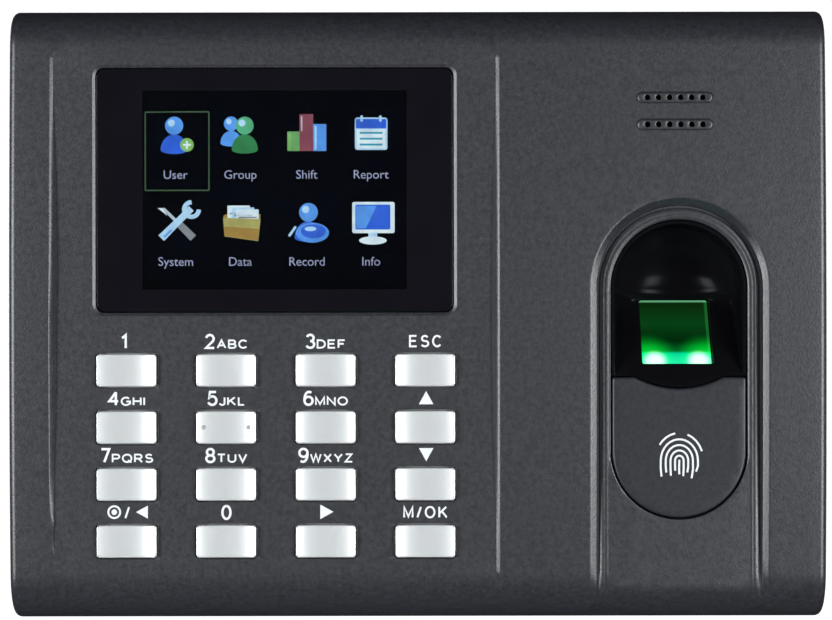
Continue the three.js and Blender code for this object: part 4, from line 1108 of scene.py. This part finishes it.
# Each character as pen strokes, in hundredths of a capital's height.
GLYPHS = {
    "0": [oval(31, 50, 31, 50)],
    "1": [[(0, 76), (27, 100), (27, 0)]],
    "2": [oval(30, 70, 29, 30, 165, -38) + [(0, 0), (63, 0)]],
    "3": [oval(28, 75, 26, 25, 160, -90), oval(28, 26, 30, 26, 90, -160)],
    "4": [[(50, 0), (50, 100)], [(50, 98), (0, 30), (68, 30)]],
    "5": [[(58, 100), (12, 100)] + oval(29, 33, 32, 33, 138, -158)],
    "6": [oval(35, 42, 35, 58, 60, 190), oval(31, 31, 31, 31)],
    "7": [[(0, 100), (60, 100), (22, 0)]],
    "8": [oval(31, 75, 26, 25), oval(31, 25, 31, 26)],
    "9": [oval(31, 69, 31, 31), oval(27, 58, 35, 58, 10, -120)],
    "A": [[(0, 0), (38, 100), (76, 0)], [(14, 34), (62, 34)]],
    "B": [[(0, 50), (38, 50)] + oval(38, 25, 28, 25, 90, -90) + [(0, 0)],
          [(0, 0), (0, 100), (36, 100)] + oval(36, 75, 25, 25, 90, -90)],
    "C": [oval(40, 50, 40, 50, 42, 318)],
    "D": [[(0, 50), (0, 0), (30, 0)] + oval(30, 50, 42, 50, -90, 90) + [(0, 100), (0, 50)]],
    "E": [[(62, 100), (0, 100), (0, 0), (64, 0)], [(0, 52), (56, 52)]],
    "F": [[(60, 100), (0, 100), (0, 0)], [(0, 52), (50, 52)]],
    "G": [oval(42, 50, 42, 50, 45, 315) + [(82, 20), (82, 48), (46, 48)]],
    "H": [[(0, 0), (0, 100)], [(70, 0), (70, 100)], [(0, 52), (70, 52)]],
    "I": [[(0, 0), (0, 100)]],
    "J": [[(46, 100), (46, 28)] + oval(23, 24, 23, 25, -10, -175)],
    "K": [[(0, 0), (0, 100)], [(66, 100), (0, 36)], [(24, 60), (70, 0)]],
    "L": [[(0, 100), (0, 0), (52, 0)]],
    "M": [[(0, 0), (0, 100), (40, 8), (80, 100), (80, 0)]],
    "N": [[(0, 0), (0, 100), (70, 0), (70, 100)]],
    "O": [oval(42, 50, 42, 50)],
    "P": [[(0, 0), (0, 100), (38, 100)] + oval(38, 73, 27, 27, 90, -90), [(38, 46), (0, 46)]],
    "Q": [oval(42, 50, 42, 50), [(50, 24), (84, -5)]],
    "R": [[(0, 0), (0, 100), (38, 100)] + oval(38, 73, 27, 27, 90, -90), [(38, 46), (0, 46)],
          [(34, 46), (70, 0)]],
    "S": [oval(33, 75, 28, 25, 25, 240) + oval(33, 26, 32, 26, 65, -155)],
    "T": [[(0, 100), (70, 100)], [(35, 100), (35, 0)]],
    "U": [[(0, 100), (0, 34)] + oval(34, 33, 34, 33, 185, 355) + [(68, 34), (68, 100)]],
    "V": [[(0, 100), (36, 0), (72, 100)]],
    "W": [[(0, 100), (24, 0), (48, 100), (72, 0), (96, 100)]],
    "X": [[(0, 0), (66, 100)], [(0, 100), (66, 0)]],
    "Y": [[(0, 100), (36, 45), (72, 100)], [(36, 45), (36, 0)]],
    "Z": [[(4, 100), (60, 100), (0, 0), (66, 0)]],
    "/": [[(0, 0), (34, 100)]],
}


def strokes_of(char):
    return [np.array(stroke) / 100 for stroke in GLYPHS[char]]


def glyph_width(char):
    return np.vstack(strokes_of(char))[:, 0].max()


def word_width(text, size, stretch=1.0):
    return size * (stretch * sum(glyph_width(c) for c in text) + LETTER_APART * (len(text) - 1))


def write(ink, text, x, z, size, pen, stretch=1.0):
    """Characters drawn as pen strokes, from x on and up from z."""
    for char in text:
        for layer, stroke in enumerate(strokes_of(char)):
            ink.stroke(stroke * size * (stretch, 1) + (x, z), pen, layer=layer)
        x += size * (stretch * glyph_width(char) + LETTER_APART)


def arrow(x, z, size, direction):
    base = np.array([(-0.55, -0.5), (0.55, -0.5), (0, 0.5)]) * size
    turn = math.radians({"up": 0, "left": 90, "down": 180, "right": 270}[direction])
    spin = np.array(((math.cos(turn), math.sin(turn)), (-math.sin(turn), math.cos(turn))))
    return base @ spin + (x, z)


def legend(ink, name, text):
    """What is printed above a key."""
    at = middle(name)
    z = at.z + LEGEND_UP
    if text in ("up", "down", "left", "right"):
        ink.fill(arrow(at.x + 0.2, z + 0.1, ARROW_SIZE, text))
    elif text == "power/left":
        ink.stroke(arc(at.x - 2.8, z + 0.1, 1.3, 0, 360, 28), WORD_PEN)
        ink.disc(at.x - 2.8, z + 0.1, 0.62)
        write(ink, "/", at.x - 0.35, z - 0.42 * DIGIT_SIZE, 0.84 * DIGIT_SIZE, WORD_PEN)
        ink.fill(arrow(at.x + 3.3, z + 0.1, 2.6, "left"))
    elif text[0].isdigit():
        wide = word_width(text[0], DIGIT_SIZE)
        tail = word_width(text[1:], LETTER_SIZE, LETTER_STRETCH) + DIGIT_APART if len(text) > 1 else 0
        x = at.x - (wide + tail) / 2 - (0.6 if text == "1" else 0)
        base = z - DIGIT_SIZE / 2
        write(ink, text[0], x, base, DIGIT_SIZE, DIGIT_PEN)
        write(ink, text[1:], x + wide + DIGIT_APART, base, LETTER_SIZE, LETTER_PEN, LETTER_STRETCH)
    else:
        x = at.x - word_width(text, WORD_SIZE) / 2
        write(ink, text, x, z - WORD_SIZE / 2, WORD_SIZE, WORD_PEN)


def keypad():
    ink = Ink(PANEL_Y - 0.005, PRINT, 0.015)
    for name, text in KEYS.items():
        key_cap(name)
        legend(ink, name, text)
    ink.piece("key_legends")


def keypad_mat():
    """The rubber mat: a base sheet, and a dome under each key, each dome with a mesh of its own."""
    low, high = box_mm("keypad_mat")
    base_front = high.y - 1.0
    centre = (low + high) / 2
    sheet = Build()
    outline = rounded_rect(centre.x, centre.z, high.x - low.x, high.z - low.z, 1.5, 5)
    sheet.add(*slab(subdivided(outline, 4), level(base_front), level(high.y), 0.2, 6))
    sheet.piece("mat_sheet", SLOT_MATERIALS["rubber"], slot="rubber", replaces=["keypad_mat"])
    for name in KEYS:
        at = middle(name)
        depths = (base_front - 0.02, base_front - 0.4, low.y + 0.2, low.y)
        rings = [ring_y(circle(at.x, at.z, radius), y) for radius, y in zip(DOME_RADII, depths)]
        dome = Build()
        dome.add(*loft(rings))
        made = dome.piece("mat_dome_" + name[4:], SLOT_MATERIALS["rubber"], slot="rubber")
        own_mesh(made)


# ------------ finger rest and reader


def notch_arc(radius, level_z, steps=30):
    """The arc of the finger's notch that lies below a height, from left to right."""
    centre = REST_HIGH.z - NOTCH_SAG + NOTCH_R
    half = math.degrees(math.acos((centre - level_z) / radius))
    return arc(ARCH_X, centre, radius, 270 - half, 270 + half, steps)


def finger_rest():
    """The plate under the finger, with a round notch in its top edge."""
    side = PLUG_R - REST_GAP
    lower = arc(ARCH_X, REST_BOTTOM_Z, side, 180, 360, 44)
    top = REST_HIGH.z
    corners = arc(ARCH_X + side - REST_CORNER, top - REST_CORNER, REST_CORNER, 0, 90, 4)
    mirrored = (corners - (ARCH_X, 0))[::-1] * (-1, 1) + (ARCH_X, 0)
    outline = subdivided(np.vstack((lower, corners, notch_arc(NOTCH_R, top)[::-1], mirrored)), 2.0)
    verts, faces = slab(outline, level(CHANNEL_Y), level(REST_HIGH.y), REST_EASE)
    make_piece("finger_rest_plate", verts, faces, REST_PLASTIC, slot="casing", replaces=["finger_rest"])


def finger_mark():
    """A plain fingerprint pictogram of nested ridges, printed on the rest."""
    ink = Ink(CHANNEL_Y - 0.005, PRINT, 0.02)
    ink.move(ARCH_X, REST_BOTTOM_Z - 2.2, 1)
    for radius, left, right in RIDGES:
        crown = oval(0, 0, radius, radius * 1.15, 180, 0)
        foot = [(radius, -right / 2), (radius * 0.9, -right)]
        ink.stroke([(-radius * 0.96, -left), (-radius, -left / 2)] + crown + foot, RIDGE_PEN)
    ink.stroke([(0, -3.0), (-0.05, -1.6), (0, 0.2)], RIDGE_PEN)
    for side, start, end in ((1, 20, 70), (-1, 35, 80)):
        ink.stroke(np.array(oval(0, 0, 5.3, 6.1, start, end)) * (side, 1), RIDGE_PEN)
    ink.piece("finger_mark")


def smooth_min(a, b, size):
    h = np.clip(size - np.abs(a - b), 0, None) / size
    return np.minimum(a, b) - h * h * size / 4


def scoop_surface(x, z):
    """Depth of the scoop: a slanted trough for the finger, closed above by a round bowl."""
    c, s = math.cos(READER_TILT), math.sin(READER_TILT)
    across = x - ARCH_X
    trough = TROUGH_R - np.sqrt(np.maximum(TROUGH_R**2 - across**2, 0))
    rise = smooth_min(trough, np.full(np.shape(x), TROUGH_DEEP), 1.2)
    plane = READER_MIDDLE.y + ((z - READER_MIDDLE.z) * c - rise) / s
    reach = BOWL_R**2 - across**2 - (z - BOWL_Z) ** 2
    bowl = BOWL_Y + np.sqrt(np.maximum(reach, 0.02))
    foot = BOWL_Y + np.sqrt(np.maximum(BOWL_R**2 - across**2, 0.02)) + (BOWL_Z - z) ** 2
    bowl = np.where(z > BOWL_Z, bowl, foot)
    return smooth_min(plane, bowl, BOWL_EASE)


def scoop_inset(x, z):
    return PLUG_R - arch_distance(x, z)


def sensor_scoop():
    """The glossy scoop round the glass, from its lip down to the hole for the prism."""
    bottom = REST_HIGH.z + SLOT
    rim = CHANNEL_Y + SLOT
    outline = np.vstack((
        arc(ARCH_X, ARCH_Z, PLUG_R, 0, 180, 48), [(ARCH_X - PLUG_R, bottom)],
        notch_arc(NOTCH_R - SLOT, bottom), [(ARCH_X + PLUG_R, bottom)],
    ))
    outline = subdivided(outline, 1.2)
    hole_high = GLASS_L * math.sin(READER_TILT)
    hole = subdivided(rounded_rect(ARCH_X, READER_MIDDLE.z, GLASS_W, hole_high, 0.5, 5), 1.0)
    lines = [(outline, True, 0.0), (hole, True, 0.3)]
    lines += [(grown(hole, 0.1), True, 0.1), (grown(hole, 0.35), True, 0.0)]
    for inset in SCOOP_RINGS:
        lines.append((arch_line(PLUG_R - inset, bottom + 0.001, 48, 1.0), False, 0.0))
    loose = grid_points(ARCH_X - PLUG_R, ARCH_X + PLUG_R, bottom - NOTCH_SAG, ARCH_Z + PLUG_R, 0.7)
    loose = loose[scoop_inset(loose[:, 0], loose[:, 1]) > 3.1]
    loose = loose[inside(grown(outline, -0.2), loose)]
    loose = loose[~inside(grown(hole, 0.6), loose)]
    flat, tris, lift = triangulated(lines, loose, outline, [hole])
    x, z = flat[:, 0], flat[:, 1]
    wall = rim + SCOOP_FALL * np.maximum(scoop_inset(x, z) - SCOOP_LIP, 0)
    y = smooth_min(wall, scoop_surface(x, z), FOOT_EASE)
    y = -smooth_min(-y, np.full(len(y), -rim), LIP_EASE) - LIP_EASE / 4
    y = np.maximum(y, rim) + lift
    front = np.column_stack((x, y, z))
    back = front.copy()
    back[:, 1] = np.maximum(y, rim) + SCOOP_WALL
    verts, faces = closed_body(flat, tris, front, back)
    make_piece(
        "sensor_scoop", verts, faces, SCOOP_BLACK, slot="scoop_gloss", replaces=["sensor_bezel"], sharp=50,
    )


def sensor_glass():
    """The prism: a rounded window standing in the scoop's hole, and its wedge-shaped body behind."""
    half_w, half_l = GLASS_W / 2 - PRISM_GAP, GLASS_L / 2 - PRISM_GAP
    build = Build()
    rings = []
    for inset, out in PRISM_RINGS:
        outline = rounded_rect(0, 0, 2 * (half_w - inset), 2 * (half_l - inset), 0.45, 5)
        rings.append(np.array([reader_point(a, b, out) for a, b in outline]))
    build.add(*loft(rings))
    wedge = [(-half_l, -5.2), (-half_l, -9.0), (0, -9.6), (half_l, -5.2)]
    build.add(*loft([np.array([reader_point(side * half_w, a, b) for a, b in wedge]) for side in (-1, 1)]))
    build.piece("reader_prism", PRISM, slot="prism_glass", replaces=["sensor_prism"], sharp=30)


# ------------ stage, lights and camera


STAGE_GREY = (0.8, 0.8, 0.8)


def stage_material(name, glow):
    made = Shading(name)
    return made.finish({
        "Base Color": made.ramp(made.noise(2.0), [(0.3, shade(STAGE_GREY, 0.985)), (0.7, STAGE_GREY)]),
        "Roughness": 0.9,
        "Emission Color": (1.0, 1.0, 1.0, 1.0),
        "Emission Strength": glow,
    })


def plane_of(name, corners, material):
    mesh = bpy.data.meshes.new(name)
    mesh.from_pydata(corners, [], [(0, 1, 2, 3)])
    mesh.materials.append(material)
    made = placed(name, mesh)
    made.visible_glossy = False


def area_light(name, location, width, height, power):
    """A soft rectangular light that faces the object."""
    lamp = bpy.data.lights.new(name, "AREA")
    lamp.shape = "RECTANGLE"
    lamp.size, lamp.size_y = width, height
    lamp.energy = power
    lamp.color = (0.955, 0.99, 1.0)
    made = placed(name, lamp)
    made.location = location
    made.rotation_euler = (-Vector(location)).to_track_quat("-Z", "Y").to_euler()


# Everything about the stage is in metres, but the lens and the sensor are in millimetres.
STAGE_REACH, FLOOR_Z = 3.0, -0.32
BACKDROP_Y, BACKDROP_TOP, BACKDROP_GLOW = 1.7, 2.0, 0.75
SOFTBOXES = (  # name, place, width, height, power
    ("softbox_left", (-0.75, -0.7, 0.0), 0.34, 0.5, 9.8),
    ("softbox_right", (0.67, -0.78, 0.0), 0.34, 0.5, 9.0),
    ("rear_left", (-0.8, 0.9, 0.1), 0.5, 0.4, 2.6),
    ("rear_right", (0.8, 0.9, 0.1), 0.5, 0.4, 2.6),
)
CAMERA_AWAY = 0.62
LENS, SENSOR_W = 122.2, 36.0
CAMERA_ROLL = math.radians(0.09)
CAMERA_X = -0.0004


def set_stage():
    reach = STAGE_REACH
    ground = [(x, y, FLOOR_Z) for x, y in bar(-reach, -reach, reach, reach)]
    plane_of("floor", ground, stage_material("pale_floor", 0.0))
    screen = [(x, BACKDROP_Y, z) for x, z in bar(-reach, FLOOR_Z, reach, BACKDROP_TOP)]
    plane_of("backdrop", screen, stage_material("pale_backdrop", BACKDROP_GLOW))
    world = bpy.data.worlds.new("studio")
    bpy.context.scene.world = world
    world.use_nodes = True
    background = world.node_tree.nodes["Background"]
    background.inputs["Color"].default_value = (0.9, 0.95, 1.0, 1.0)
    background.inputs["Strength"].default_value = 0.02
    for softbox in SOFTBOXES:
        area_light(*softbox)


def set_camera():
    camera = bpy.data.cameras.new("camera")
    camera.sensor_width = SENSOR_W
    camera.lens = LENS
    camera.clip_start, camera.clip_end = 0.01, 20.0
    made = placed("camera", camera)
    made.location = (CAMERA_X, FACE_Y * MM - CAMERA_AWAY, 0.001)
    made.rotation_mode = "QUATERNION"
    look = Vector((0.0, 1.0, 0.0)).to_track_quat("-Z", "Z")
    made.rotation_quaternion = Matrix.Rotation(CAMERA_ROLL, 3, "Y").to_quaternion() @ look
    bpy.context.scene.camera = made


set_camera()
set_stage()
finish_cad_nodes()
front_cover()
display_window()
display_picture()
keypad()
keypad_mat()
finger_rest()
finger_mark()
sensor_scoop()
sensor_glass()
bpy.context.scene.view_settings.view_transform = "Standard"
